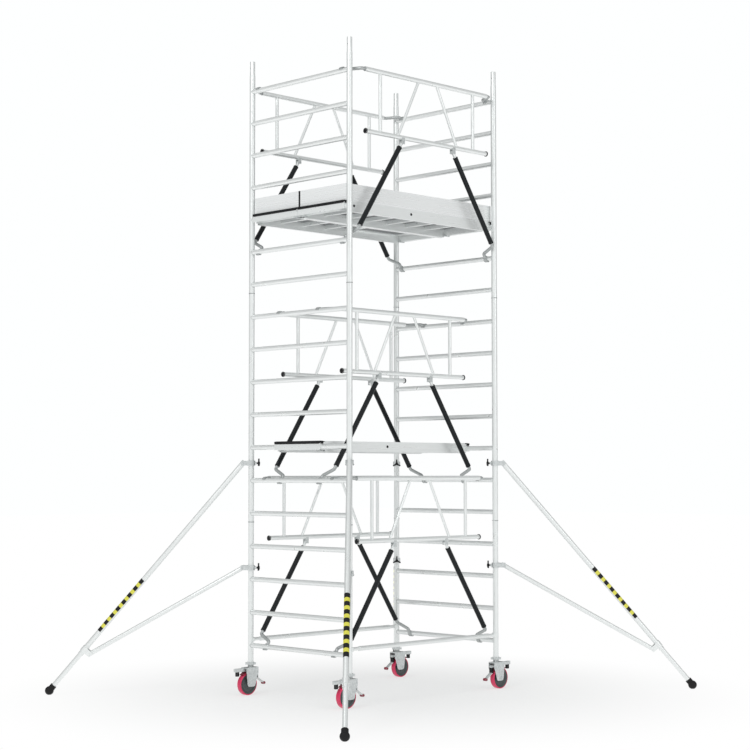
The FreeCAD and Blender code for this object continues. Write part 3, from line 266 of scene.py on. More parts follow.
def solids_of(node):
    """A copy of a node's mesh, as a list of separate solids with their boxes."""
    mesh = bmesh.new()
    mesh.from_mesh(frame["nodes"][node].data)
    bmesh.ops.remove_doubles(mesh, verts=mesh.verts, dist=1e-6)
    solids = []
    seen = set()
    for first in mesh.faces:
        if first.index in seen:
            continue
        seen.add(first.index)
        waiting = [first]
        group = []
        while waiting:
            face = waiting.pop()
            group.append(face)
            for edge in face.edges:
                for other in edge.link_faces:
                    if other.index not in seen:
                        seen.add(other.index)
                        waiting.append(other)
        numbers = {}
        points = []
        faces = []
        for face in group:
            corners = []
            for vertex in face.verts:
                if vertex.index not in numbers:
                    numbers[vertex.index] = len(points)
                    points.append(vertex.co.copy())
                corners.append(numbers[vertex.index])
            faces.append(corners)
        low = Vector([min(point[axis] for point in points) for axis in range(3)])
        high = Vector([max(point[axis] for point in points) for axis in range(3)])
        solids.append({"points": points, "faces": faces, "low": low, "high": high, "size": high - low})
    mesh.free()
    return solids


def hand_over(name, data, body, replaced):
    """A mesh as an object at the origin, shaded smooth and tied to its body."""
    data.shade_smooth()
    data.set_sharp_from_angle(angle=SMOOTH_UNDER)
    piece = bpy.data.objects.new(name, data)
    bpy.context.collection.objects.link(piece)
    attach(piece, body)
    if replaced:
        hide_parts(*replaced)


def finish_piece(name, points, faces, material, body, replaced=(), slot=None):
    """A finished piece from points and faces, in one material."""
    data = bpy.data.meshes.new(name)
    data.from_pydata([tuple(point) for point in points], [], faces)
    data.validate()
    data.materials.append(material)
    hand_over(name, data, body, replaced)


def joined(shapes):
    """Several shapes, each a list of points and a list of faces, in one."""
    points = []
    faces = []
    for shape_points, shape_faces in shapes:
        start = len(points)
        points.extend(shape_points)
        faces.extend([[start + corner for corner in face] for face in shape_faces])
    return points, faces


def merged(solids):
    """Several solids as one shape."""
    return joined([(solid["points"], solid["faces"]) for solid in solids])


def dress(node, rules):
    """Sort a node's solids by the first rule that fits, and finish each sort as one piece."""
    sorts = {}
    for solid in solids_of(node):
        for label, material, fits in rules:
            if fits(solid):
                sorts.setdefault(label, (material, []))[1].append(solid)
                break
    for label, (material, solids) in sorts.items():
        points, faces = merged(solids)
        finish_piece("%s_%s" % (node, label), points, faces, material, body_of_node[node], (node,))
    return {label: len(solids) for label, (material, solids) in sorts.items()}


def always(solid):
    """The rule for whatever is left."""
    return True


# %% [markdown]
# Many pieces are turned: sleeves, wheels, knobs, boots. `lathe` takes an outline of radius against height and
# spins it about Z, giving a closed shell, and `move` puts the result where it belongs.

# %% Turned shapes
def lathe(outline, steps=32):
    """Points and faces of a closed outline (radius, height) spun about Z."""
    points = []
    rings = []
    for radius, height in outline:
        if radius < 1e-7:
            rings.append([len(points)])
            points.append(Vector((0, 0, height)))
            continue
        ring = []
        for step in range(steps):
            angle = 2 * math.pi * step / steps
            ring.append(len(points))
            points.append(Vector((radius * math.cos(angle), radius * math.sin(angle), height)))
        rings.append(ring)
    faces = []
    for index in range(len(rings)):
        lower = rings[index]
        upper = rings[(index + 1) % len(rings)]
        if len(lower) == 1 and len(upper) == 1:
            continue
        for step in range(steps):
            after = (step + 1) % steps
            corners = []
            for ring, place in ((lower, step), (lower, after), (upper, after), (upper, step)):
                corner = ring[place % len(ring)]
                if corner not in corners:
                    corners.append(corner)
            faces.append(corners)
    return points, faces


def outward(points, faces):
    """The same faces, turned so that they look outwards."""
    mesh = bmesh.new()
    vertices = [mesh.verts.new(point) for point in points]
    for face in faces:
        mesh.faces.new([vertices[corner] for corner in face])
    bmesh.ops.recalc_face_normals(mesh, faces=mesh.faces)
    mesh.verts.index_update()
    result = [[vertex.index for vertex in face.verts] for face in mesh.faces]
    mesh.free()
    return points, result


def move(shape, matrix):
    """A shape's points carried by a matrix."""
    points, faces = shape
    return [matrix @ point for point in points], faces


def pointing(start, direction):
    """A matrix that carries Z onto a direction, from a starting point."""
    turn = Vector((0, 0, 1)).rotation_difference(Vector(direction).normalized())
    return Matrix.Translation(start) @ turn.to_matrix().to_4x4()


def bevelled_rod(radius, length, edge=0.001, steps=32):
    """A solid rod with eased ends, standing on Z from 0 to its length."""
    return outward(*lathe([(0, 0), (radius - edge, 0), (radius, edge), (radius, length - edge),
                           (radius - edge, length), (0, length)], steps))


def bevelled_box(low, high, bevel):
    """A box between two corners with its edges cut back."""
    box = bmesh.new()
    bmesh.ops.create_cube(box, size=1.0)
    middle = (low + high) / 2
    size = Vector([abs(value) for value in high - low])
    bmesh.ops.transform(box, matrix=Matrix.Translation(middle) @ Matrix.Diagonal((*size, 1)), verts=box.verts)
    bmesh.ops.bevel(box, geom=box.edges, offset=bevel, segments=2, affect="EDGES")
    points = [vert.co.copy() for vert in box.verts]
    box.verts.index_update()
    faces = [[vert.index for vert in face.verts] for face in box.faces]
    box.free()
    return outward(points, faces)


# %% [markdown]
# Geometry Nodes make what repeats. `Grower` starts a tree with named inputs, and `grow` runs it once on an
# empty mesh, keeps the result as a plain mesh and throws the modifier away, so nothing live is left behind.

# %% Geometry Nodes helpers
class Grower:
    """A Geometry Nodes tree with short ways to add and wire nodes."""

    def __init__(self, name, inputs):
        self.tree = bpy.data.node_groups.new(name, "GeometryNodeTree")
        self.tree.interface.new_socket("Geometry", in_out="INPUT", socket_type="NodeSocketGeometry")
        self.tree.interface.new_socket("Geometry", in_out="OUTPUT", socket_type="NodeSocketGeometry")
        self.names = {}
        for label, kind in inputs.items():
            socket = self.tree.interface.new_socket(label, in_out="INPUT", socket_type=kind)
            self.names[label] = socket.identifier
        self.entry = self.tree.nodes.new("NodeGroupInput")
        self.exit = self.tree.nodes.new("NodeGroupOutput")

    def add(self, kind, links=None, **settings):
        return add_node(self.tree, kind, links, settings)

    def maths(self, operation, first, second=None):
        """One sum; each side is a socket or a number."""
        node = self.tree.nodes.new("ShaderNodeMath")
        node.operation = operation
        for index, side in enumerate((first, second)):
            if side is None:
                continue
            if isinstance(side, (int, float)):
                node.inputs[index].default_value = side
            else:
                self.tree.links.new(side, node.inputs[index])
        return node.outputs["Value"]

    def vector(self, x=0.0, y=0.0, z=0.0):
        node = self.tree.nodes.new("ShaderNodeCombineXYZ")
        for socket, side in zip(node.inputs, (x, y, z)):
            if isinstance(side, (int, float)):
                socket.default_value = side
            else:
                self.tree.links.new(side, socket)
        return node.outputs["Vector"]

    def gather(self, *sources):
        node = self.tree.nodes.new("GeometryNodeJoinGeometry")
        for source in reversed(sources):
            self.tree.links.new(source, node.inputs["Geometry"])
        return node.outputs["Geometry"]

    def input(self, label):
        return self.entry.outputs[label]

    def close(self, source):
        self.tree.links.new(source, self.exit.inputs["Geometry"])


def grow(grower, values):
    """Run a tree once with these input values, and give its result as a plain mesh."""
    seed = bpy.data.objects.new("seed", bpy.data.meshes.new("seed"))
    bpy.context.collection.objects.link(seed)
    modifier = seed.modifiers.new("grow", "NODES")
    modifier.node_group = grower.tree
    for label, value in values.items():
        modifier[grower.names[label]] = value
    bpy.context.view_layer.update()
    seen = seed.evaluated_get(bpy.context.evaluated_depsgraph_get())
    data = bpy.data.meshes.new_from_object(seen)
    seed.modifiers.remove(modifier)
    bpy.data.objects.remove(seed)
    return data


def keep_grown(name, data, matrix, body, replaced=()):
    """A grown mesh, carried to its place, as a finished piece."""
    data.transform(matrix)
    data.name = name
    hand_over(name, data, body, replaced)


# %% [markdown]
# A ladder frame is two uprights and a row of rungs. The rungs follow a rule: the same ribbed tube at a fixed
# pitch, with a weld bead where each end meets an upright. The bead isn't a flat ring, because it follows the
# line where one tube meets another: at x across the rung it stands sqrt(R*R - x*x) from the upright's axis.
# One tree makes the rung and both beads and sets them along the frame.

# %% The rung tree
RIBS = 30
RUNG_CLEARANCE = 0.012
rung_tree = Grower("rungs_on_a_frame", {
    "Rungs": "NodeSocketInt",
    "Pitch": "NodeSocketFloat",
    "Width": "NodeSocketFloat",
    "Rung Radius": "NodeSocketFloat",
    "Upright Radius": "NodeSocketFloat",
    "Rib Height": "NodeSocketFloat",
    "Bead Radius": "NodeSocketFloat",
})
half_span = rung_tree.maths("MULTIPLY", rung_tree.input("Width"), 0.5)
tube_reach = rung_tree.maths("SUBTRACT", half_span, RUNG_CLEARANCE)
centre_line = rung_tree.add("GeometryNodeCurvePrimitiveLine", {
    "Start": rung_tree.vector(y=rung_tree.maths("MULTIPLY", tube_reach, -1.0)),
    "End": rung_tree.vector(y=tube_reach),
})
round_profile = rung_tree.add("GeometryNodeCurvePrimitiveCircle", {"Radius": rung_tree.input("Rung Radius")},
                              Resolution=2 * RIBS)
odd = rung_tree.maths("MODULO", rung_tree.add("GeometryNodeInputIndex").outputs["Index"], 2.0)
rib_share = rung_tree.maths("DIVIDE", rung_tree.input("Rib Height"), rung_tree.input("Rung Radius"))
shrink = rung_tree.maths("SUBTRACT", 1.0, rung_tree.maths("MULTIPLY", odd, rib_share))
profile_spot = rung_tree.add("GeometryNodeInputPosition").outputs["Position"]
ribbed_spot = rung_tree.add("ShaderNodeVectorMath", {"Vector": profile_spot, "Scale": shrink},
                            operation="SCALE")
ribbed_profile = rung_tree.add("GeometryNodeSetPosition", {
    "Geometry": round_profile.outputs["Curve"],
    "Position": ribbed_spot.outputs["Vector"],
})
rung_mesh = rung_tree.add("GeometryNodeCurveToMesh", {
    "Curve": centre_line.outputs["Curve"],
    "Profile Curve": ribbed_profile.outputs["Geometry"],
}, **{"Fill Caps": True})
rung_painted = rung_tree.add("GeometryNodeSetMaterial", {"Geometry": rung_mesh.outputs["Mesh"]},
                             Material=tube_metal)


def bead_on(side):
    """The saddle-shaped weld line at one end of the rung."""
    circle = rung_tree.add("GeometryNodeCurvePrimitiveCircle", {"Radius": rung_tree.input("Rung Radius")},
                           Resolution=36)
    spot = rung_tree.add("GeometryNodeInputPosition").outputs["Position"]
    parts = rung_tree.add("ShaderNodeSeparateXYZ", {"Vector": spot})
    across = parts.outputs["X"]
    radius = rung_tree.input("Upright Radius")
    rest = rung_tree.maths("SUBTRACT", rung_tree.maths("MULTIPLY", radius, radius),
                           rung_tree.maths("MULTIPLY", across, across))
    offset = rung_tree.maths("SQRT", rest)
    reach = rung_tree.maths("SUBTRACT", half_span, offset)
    line = rung_tree.add("GeometryNodeSetPosition", {
        "Geometry": circle.outputs["Curve"],
        "Position": rung_tree.vector(across, rung_tree.maths("MULTIPLY", reach, side), parts.outputs["Y"]),
    })
    bead = rung_tree.add("GeometryNodeCurvePrimitiveCircle", {"Radius": rung_tree.input("Bead Radius")},
                         Resolution=6)
    mesh = rung_tree.add("GeometryNodeCurveToMesh", {
        "Curve": line.outputs["Geometry"],
        "Profile Curve": bead.outputs["Curve"],
    })
    return rung_tree.add("GeometryNodeSetMaterial", {"Geometry": mesh.outputs["Mesh"]},
                         Material=weld_metal).outputs["Geometry"]


one_rung = rung_tree.gather(rung_painted.outputs["Geometry"], bead_on(-1), bead_on(1))
row = rung_tree.add("GeometryNodeMeshLine", {
    "Count": rung_tree.input("Rungs"),
    "Start Location": rung_tree.vector(z=rung_tree.maths("MULTIPLY", rung_tree.input("Pitch"), 0.5)),
    "Offset": rung_tree.vector(z=rung_tree.input("Pitch")),
}, mode="OFFSET", count_mode="TOTAL")
copies = rung_tree.add("GeometryNodeInstanceOnPoints", {
    "Points": row.outputs["Mesh"],
    "Instance": one_rung,
})
whole_row = rung_tree.add("GeometryNodeRealizeInstances", {"Geometry": copies.outputs["Instances"]})
rung_tree.close(whole_row.outputs["Geometry"])
print("rung tree nodes", len(rung_tree.tree.nodes))

# %% [markdown]
# Each frame's node gives the numbers: its solids that are long and thin along Y are rungs, and their count
# and spacing set the tree's inputs. The uprights with their spigots stay as they were designed, in a copy
# with smooth shading.

# %% Ladder frames
RIB_HEIGHT = 0.0005
BEAD_RADIUS = 0.0024


def is_rung(solid):
    """Longest across the tower."""
    return solid["size"].y > 1.0


for part in ("base_frame", "middle_frame", "top_frame"):
    for end in ("left", "right"):
        node = "%s_%s" % (part, end)
        solids = solids_of(node)
        rungs = sorted([solid for solid in solids if is_rung(solid)], key=lambda solid: solid["low"].z)
        stiles = [solid for solid in solids if not is_rung(solid)]
        pitch = rungs[1]["low"].z - rungs[0]["low"].z
        rung_radius = rungs[0]["size"].z / 2
        upright_radius = stiles[0]["size"].x / 2
        width = max(solid["high"].y for solid in stiles) - min(solid["low"].y for solid in stiles)
        grown = grow(rung_tree, {
            "Rungs": len(rungs),
            "Pitch": pitch,
            "Width": width - 2 * upright_radius,
            "Rung Radius": rung_radius,
            "Upright Radius": upright_radius,
            "Rib Height": RIB_HEIGHT,
            "Bead Radius": BEAD_RADIUS,
        })
        centre_x = (stiles[0]["low"].x + stiles[0]["high"].x) / 2
        foot = stiles[0]["low"].z
        keep_grown(node + "_rungs", grown, Matrix.Translation((centre_x, 0, foot)), "tower", (node,))
        finish_piece(node + "_uprights", *merged(stiles), tube_metal, "tower", (node,))
        print(node, "rungs", len(rungs), "pitch", round(pitch, 4))

# %% [markdown]
# Guard frames, foot tubes, hooks and clips are already right in shape. They only need to be sorted by
# finish: bare tube, pale castings for brackets, and dull ones for claws. The knee rails end in dark caps,
# which are turned here with a domed face, a little larger than the plugs that they cover.

# %% Guard frames, hooks and foot tubes
CAP_RADIUS = 0.0246
CAP_LENGTH = 0.0096
CAP_DOME = 0.002
CAP = [
    (0, 0),
    (CAP_RADIUS, 0),
    (CAP_RADIUS, CAP_LENGTH - CAP_DOME),
    (CAP_RADIUS - CAP_DOME, CAP_LENGTH),
    (0, CAP_LENGTH + CAP_DOME / 2),
]


def is_bracket(solid):
    """A small solid under the knee rail."""
    return solid["size"].x < 0.05 and solid["size"].z < 0.1


for node in sorted(frame["nodes"]):
    if node.startswith("guard_frame_"):
        counts = dress(node, [("brackets", zinc_plate, is_bracket), ("tubes", tube_metal, always)])
        rails = [solid for solid in solids_of(node) if solid["size"].x > 1.0]
        knee_rail = min(rails, key=lambda solid: solid["low"].z)
        middle = (knee_rail["low"] + knee_rail["high"]) / 2
        caps = []
        for end, way in ((knee_rail["low"].x, -1), (knee_rail["high"].x, 1)):
            spot = Vector((end - way * (CAP_LENGTH - CAP_DOME / 4), middle.y, middle.z))
            caps.append(move(outward(*lathe(CAP, 32)), pointing(spot, (way, 0, 0))))
        finish_piece(node + "_caps", *joined(caps), moulded_plastic, "tower", slot="dark_plastic")
print("last guard frame", counts)
dress("guard_hooks", [("arms", cast_metal, always)])
dress("base_braces", [
    ("tubes", tube_metal, lambda solid: solid["size"].x > 1.0),
    ("claws", cast_metal, always),
])
dress("locking_clips", [("springs", cast_metal, always)])
dress("adjusting_nuts", [("wings", zinc_plate, always)])

# %% [markdown]
# A folding stay is three things: an eye on a grey tube, a dark sleeve over most of it, and a cast arm that
# bends in to a claw. The sleeve is turned as one closed shape. It is a hair thicker than the tube that it is
# pressed over, and it has a rolled collar at each end.

# %% Folding stays
STAY_RUN = 0.615
STAY_DROP = 0.928
SLEEVE_START = 0.058
SLEEVE_STOP = 0.155
SLEEVE_OVERLAP = 0.0005
SLEEVE_INSIDE = 0.0141
SLEEVE_OUTSIDE = 0.0223
COLLAR_OUTSIDE = 0.0236
COLLAR_WIDTH = 0.014
COLLAR_ROUND = 0.002


def sleeve_outline(length):
    """A tube with a collar at each end, as one closed outline from the inside round to the inside."""
    first = [
        (SLEEVE_INSIDE, 0),
        (SLEEVE_OUTSIDE, 0),
        (COLLAR_OUTSIDE, COLLAR_ROUND),
        (COLLAR_OUTSIDE, COLLAR_WIDTH - COLLAR_ROUND),
        (SLEEVE_OUTSIDE, COLLAR_WIDTH),
    ]
    return first + [(radius, length - height) for radius, height in reversed(first)]


for name, joint in joints.items():
    if not name.startswith("stay_fold_"):
        continue
    node = joint["child"]
    solids = solids_of(node)
    shank = max(solids, key=lambda solid: solid["high"].z)
    grip = min(solids, key=lambda solid: solid["low"].z)
    finish_piece(node + "_shank", shank["points"], shank["faces"], tube_metal, node, (node,))
    finish_piece(node + "_grip", grip["points"], grip["faces"], cast_metal, node, (node,))
    pivot = Vector(joint["pos_m"])
    side = 1 if pivot.x > 0 else -1
    reach = Vector((side * STAY_RUN, 0, -STAY_DROP))
    way = reach.normalized()
    length = reach.length - SLEEVE_STOP - SLEEVE_START + 2 * SLEEVE_OVERLAP
    sleeve = outward(*lathe(sleeve_outline(length), 40))
    place = pointing(pivot + way * (SLEEVE_START - SLEEVE_OVERLAP), way)
    finish_piece(node + "_sleeve", *move(sleeve, place), sleeve_plastic, node, (node,))
print("stays done")

# %% [markdown]
# The decks: beams and end sections in aluminium with dark plugs, resin-faced boards, trapdoors all of the
# same board, and toe boards of pale aluminium with pale corner pieces, dark dividers and dark strips. Each
# toe board is a rolled section, so a row of shallow beads runs along it. Those follow a path, so a small tree
# sweeps them.

# %% Decks and trapdoors
for node in ("platform_top_near", "platform_top_far", "platform_middle"):
    counts = dress(node, [
        ("plugs", moulded_plastic, lambda solid: solid["size"].y < 0.004),
        ("beams", deck_metal, always),
    ])
    print(node, counts)
dress("deck_panels", [("boards", deck_board, always)])
STRIP_HEIGHT = 0.034
STRIP_LENGTH = 0.052
STRIP_PROUD = 0.0015
for node in ("platform_top_near", "platform_top_far", "platform_middle"):
    low, high = [Vector(corner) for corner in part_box(node)]
    covers = []
    for end, way in ((low.x, -1), (high.x, 1)):
        outside = end + way * STRIP_PROUD
        inside = end - way * STRIP_LENGTH
        first = Vector((min(outside, inside), low.y + 0.001, high.z - STRIP_HEIGHT))
        second = Vector((max(outside, inside), high.y - 0.001, high.z + STRIP_PROUD))
        covers.append(bevelled_box(first, second, 0.009))
    finish_piece(node + "_end_covers", *joined(covers), moulded_plastic, "tower", slot="dark_plastic")
dress("platform_fittings", [
    ("dividers", moulded_plastic, lambda solid: max(solid["size"].xy) < 0.03 < solid["size"].z),
    ("corners", board_metal, lambda solid: solid["size"].z > 0.1),
    ("strips", moulded_plastic, lambda solid: solid["size"].y > 0.5),
    ("wind_claws", zinc_plate, always),
])
for node in ("hatch_top", "hatch_middle"):
    dress(node, [("board", deck_board, always)])
dress("toe_boards", [("boards", board_metal, always)])

# %% The bead tree for the toe boards
bead_tree = Grower("rolled_beads", {
    "Length": "NodeSocketFloat",
    "Beads": "NodeSocketInt",
    "Spacing": "NodeSocketFloat",
    "Bead Radius": "NodeSocketFloat",
})
bead_half = bead_tree.maths("MULTIPLY", bead_tree.input("Length"), 0.5)
bead_line = bead_tree.add("GeometryNodeCurvePrimitiveLine", {
    "Start": bead_tree.vector(x=bead_tree.maths("MULTIPLY", bead_half, -1.0)),
    "End": bead_tree.vector(x=bead_half),
})
bead_profile = bead_tree.add("GeometryNodeCurvePrimitiveCircle", {"Radius": bead_tree.input("Bead Radius")},
                             Resolution=10)
bead_mesh = bead_tree.add("GeometryNodeCurveToMesh", {
    "Curve": bead_line.outputs["Curve"],
    "Profile Curve": bead_profile.outputs["Curve"],
}, **{"Fill Caps": True})
bead_rows = bead_tree.add("GeometryNodeMeshLine", {
    "Count": bead_tree.input("Beads"),
    "Offset": bead_tree.vector(z=bead_tree.input("Spacing")),
}, mode="OFFSET", count_mode="TOTAL")
bead_copies = bead_tree.add("GeometryNodeInstanceOnPoints", {
    "Points": bead_rows.outputs["Mesh"],
    "Instance": bead_mesh.outputs["Mesh"],
})
bead_real = bead_tree.add("GeometryNodeRealizeInstances", {"Geometry": bead_copies.outputs["Instances"]})
bead_painted = bead_tree.add("GeometryNodeSetMaterial", {"Geometry": bead_real.outputs["Geometry"]},
                             Material=board_metal)
bead_tree.close(bead_painted.outputs["Geometry"])

BEAD_SINK = 0.0006
BEAD_INSET = 0.01
low, high = [Vector(corner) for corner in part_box("toe_boards")]
board_height = high.z - low.z
long_boards = [solid for solid in solids_of("toe_boards") if solid["size"].x > 1.0]
for number, solid in enumerate(long_boards):
    middle = (solid["low"] + solid["high"]) / 2
    face = solid["high"].y if middle.y > 0 else solid["low"].y
    inward = -1 if middle.y > 0 else 1
    grown = grow(bead_tree, {
        "Length": solid["size"].x - 3 * BEAD_INSET,
        "Beads": 2,
        "Spacing": board_height - 2 * BEAD_INSET,
        "Bead Radius": 0.0015,
    })
    spot = Vector((middle.x, face + inward * BEAD_SINK, solid["low"].z + BEAD_INSET))
    keep_grown("toe_board_beads_%d" % (number + 1), grown, Matrix.Translation(spot), "tower")
print("long toe boards", len(long_boards))

# %% [markdown]
# A castor: a zinc-plated fork on a threaded leg, a wheel and a brake. The wheel is the piece that people
# look at, so it is built as the real one is: a dark moulded centre with a raised hub, a dished web and a
# rim, and a red tread cast round it with rounded shoulders. Both are turned about the axle.

# %% Wheels
SHOULDER = 0.008
SHOULDER_STEPS = 6
WEB_SINK = 0.014
AXLE_BORE = 0.00605


def wheel_outlines(radius, half_width, hub_half):
    """The tread and the centre as two closed outlines that meet at the rim."""
    seat = radius * 0.90
    upper = [(seat, half_width - 0.001)]
    for step in range(SHOULDER_STEPS + 1):
        angle = math.pi / 2 * step / SHOULDER_STEPS
        sink = SHOULDER * (1 - math.sin(angle))
        inset = SHOULDER * (1 - math.cos(angle))
        upper.append((radius - sink, half_width - inset))
    tread = [(r, -z) for r, z in upper] + list(reversed(upper))
    centre_side = [
        (AXLE_BORE, hub_half),
        (0.017, hub_half),
        (0.0195, hub_half - 0.002),
        (0.022, half_width - 0.010),
        (0.030, half_width - WEB_SINK),
        (seat - 0.022, half_width - WEB_SINK),
        (seat - 0.012, half_width - 0.004),
        (seat - 0.002, half_width - 0.001),
        (seat, half_width - 0.003),
    ]
    centre = [(r, -z) for r, z in centre_side] + list(reversed(centre_side))
    return tread, centre


def lying_across(centre_point):
    """Carries a turned shape so that its axis lies along Y."""
    return Matrix.Translation(centre_point) @ Matrix.Rotation(math.pi / 2, 4, "X")


TREAD_HALF_WIDTH = 0.025
WEB_BOSSES = 8
BOSS_CIRCLE = 0.042
BOSS_RADIUS = 0.006
BOSS_HEIGHT = 0.003
for letter in CORNERS:
    node = "castor_wheel_" + letter
    hub = Vector(joints["roll_" + letter]["pos_m"])
    low, high = [Vector(corner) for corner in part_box(node)]
    tread, centre = wheel_outlines(hub.z, TREAD_HALF_WIDTH, (high.y - low.y) / 2)
    place = lying_across(hub)
    finish_piece(node + "_tread", *move(outward(*lathe(tread, 96)), place), tread_red, node, (node,))
    shapes = [outward(*lathe(centre, 72))]
    for index in range(WEB_BOSSES):
        angle = 2 * math.pi * index / WEB_BOSSES
        for end in (-1, 1):
            face = end * (TREAD_HALF_WIDTH - WEB_SINK - 0.0005)
            spot = Vector((BOSS_CIRCLE * math.cos(angle), BOSS_CIRCLE * math.sin(angle), face))
            boss = bevelled_rod(BOSS_RADIUS, BOSS_HEIGHT, 0.0012, 16)
            shapes.append(move(boss, pointing(spot, (0, 0, end))))
    finish_piece(node + "_centre", *move(joined(shapes), place), wheel_core, node, (node,))
print("wheels", len(CORNERS))

# %% [markdown]
# The fork and the brake lever stay as designed. The brake gets a small red knob, and a dark shoe that faces
# the tread. A dark buffer hangs from the fork's lug, and a red cover arches over the top of the wheel. Both
# are part of the fork, so they ride on the fork and not on the wheel.

# %% Forks, legs and brakes
COVER_INSIDE = 0.1045
COVER_OUTSIDE = 0.1085
COVER_HALF_WIDTH = 0.029
COVER_START = math.radians(52)
COVER_FINISH = math.radians(128)


def arched_cover(hub, steps=18):
    """A curved plate over the top of the wheel, as a closed shell."""
    points = []
    faces = []
    for step in range(steps + 1):
        angle = COVER_START + (COVER_FINISH - COVER_START) * step / steps
        for radius in (COVER_INSIDE, COVER_OUTSIDE):
            for y in (-COVER_HALF_WIDTH, COVER_HALF_WIDTH):
                points.append(hub + Vector((radius * math.cos(angle), y, radius * math.sin(angle))))
    for step in range(steps):
        a = 4 * step
        b = a + 4
        faces += [
            [a, a + 1, b + 1, b],
            [a + 2, b + 2, b + 3, a + 3],
            [a, b, b + 2, a + 2],
            [a + 1, a + 3, b + 3, b + 1],
        ]
    last = 4 * steps
    faces += [[0, 2, 3, 1], [last, last + 1, last + 3, last + 2]]
    return outward(points, faces)


KNOB_OFFSET = (-0.100, -0.115)
KNOB = [(0, -0.021), (0.010, -0.021), (0.0135, -0.017), (0.0135, 0.017), (0.010, 0.021), (0, 0.021)]
SHOE_LOW = (-0.0235, -0.019, -0.0605)
SHOE_HIGH = (-0.0056, 0.019, -0.012)
BUFFER_LOW = (0.145, -0.0135, -0.074)
BUFFER_HIGH = (0.173, 0.0135, -0.029)
for letter, (side_x, side_y) in CORNERS.items():
    dress("castor_spindle_" + letter, [("leg", threaded, always)])
    fork = "castor_fork_" + letter
    dress(fork, [("plate", zinc_plate, always)])
    hub = Vector(joints["roll_" + letter]["pos_m"])
    finish_piece(fork + "_cover", *arched_cover(hub), brake_red, fork, slot="brake")
    turn = Matrix.Diagonal((side_x, 1, 1, 1))
    swivel = Vector(joints["swivel_" + letter]["pos_m"])
    top = Matrix.Translation((swivel.x, swivel.y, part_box(fork)[1][2])) @ turn
    buffer = bevelled_box(top @ Vector(BUFFER_LOW), top @ Vector(BUFFER_HIGH), 0.002)
    finish_piece(fork + "_buffer", *buffer, moulded_plastic, fork, slot="dark_plastic")
    pedal = "brake_pedal_" + letter
    pivot = Vector(joints["brake_" + letter]["pos_m"])
    knob = pivot + Vector((side_x * KNOB_OFFSET[0], 0, KNOB_OFFSET[1]))
    dress(pedal, [("lever", zinc_plate, always)])
    grip = outward(*lathe(KNOB, 32))
    finish_piece(pedal + "_knob", *move(grip, pointing(knob, (0, 1, 0))), brake_red, pedal, (pedal,))
    eye = Matrix.Translation(pivot) @ turn
    shoe = bevelled_box(eye @ Vector(SHOE_LOW), eye @ Vector(SHOE_HIGH), 0.001)
    finish_piece(pedal + "_shoe", *shoe, moulded_plastic, pedal, (pedal,))
print("castors done")

# %% [markdown]
# The outriggers: couplers and collar are castings, the knobs are moulded, and the tubes are bare aluminium.
# A copy of each leg is sorted by the heights of its solids.

# %% Outrigger legs
for letter in CORNERS:
    leg = "stabiliser_leg_" + letter
    counts = dress(leg, [
        ("tubes", tube_metal, lambda solid: solid["size"].z > 0.4),
        ("collar", tube_metal, lambda solid: solid["size"].z > 0.1),
        ("knobs", moulded_plastic, lambda solid: solid["size"].z > 0.055),
        ("couplers", zinc_plate, always),
    ])
print("last leg", counts)

# %% [markdown]
# The foot is a thinner tube that telescopes in the leg, with a rubber boot on its end. The boot is a ball
# with a flat, ribbed sole, and a cuff that grips the tube. Ball and cuff are both turned, each on its own
# line: the ball stands on the floor, and the cuff lies along the leg.

# %% Feet
BOOT_RADIUS = 0.040
BOOT_HEIGHT = 0.037
CUFF_RADIUS = 0.0295
CUFF_LENGTH = 0.064
FOOT_TUBE_RADIUS = 0.021
BALL_STEPS = 14


def boot_ball(radius, centre_height, sole_ribs=3):
    """A ball with a flat ribbed sole at height zero, standing on Z."""
    sole_radius = math.sqrt(radius ** 2 - centre_height ** 2)
    outline = [(0, 0.002)]
    for rib in range(sole_ribs):
        inner = 0.001 + (sole_radius - 0.001) * (rib + 0.35) / sole_ribs
        outer = 0.001 + (sole_radius - 0.001) * (rib + 1) / sole_ribs
        outline += [(inner, 0.002), (inner, 0.0), (outer, 0.0)]
    first = math.asin(-centre_height / radius)
    for step in range(1, BALL_STEPS + 1):
        angle = first + (math.pi / 2 - first) * step / BALL_STEPS
        reach = radius * math.cos(angle) if step < BALL_STEPS else 0
        outline.append((reach, centre_height + radius * math.sin(angle)))
    return outward(*lathe(outline, 40))


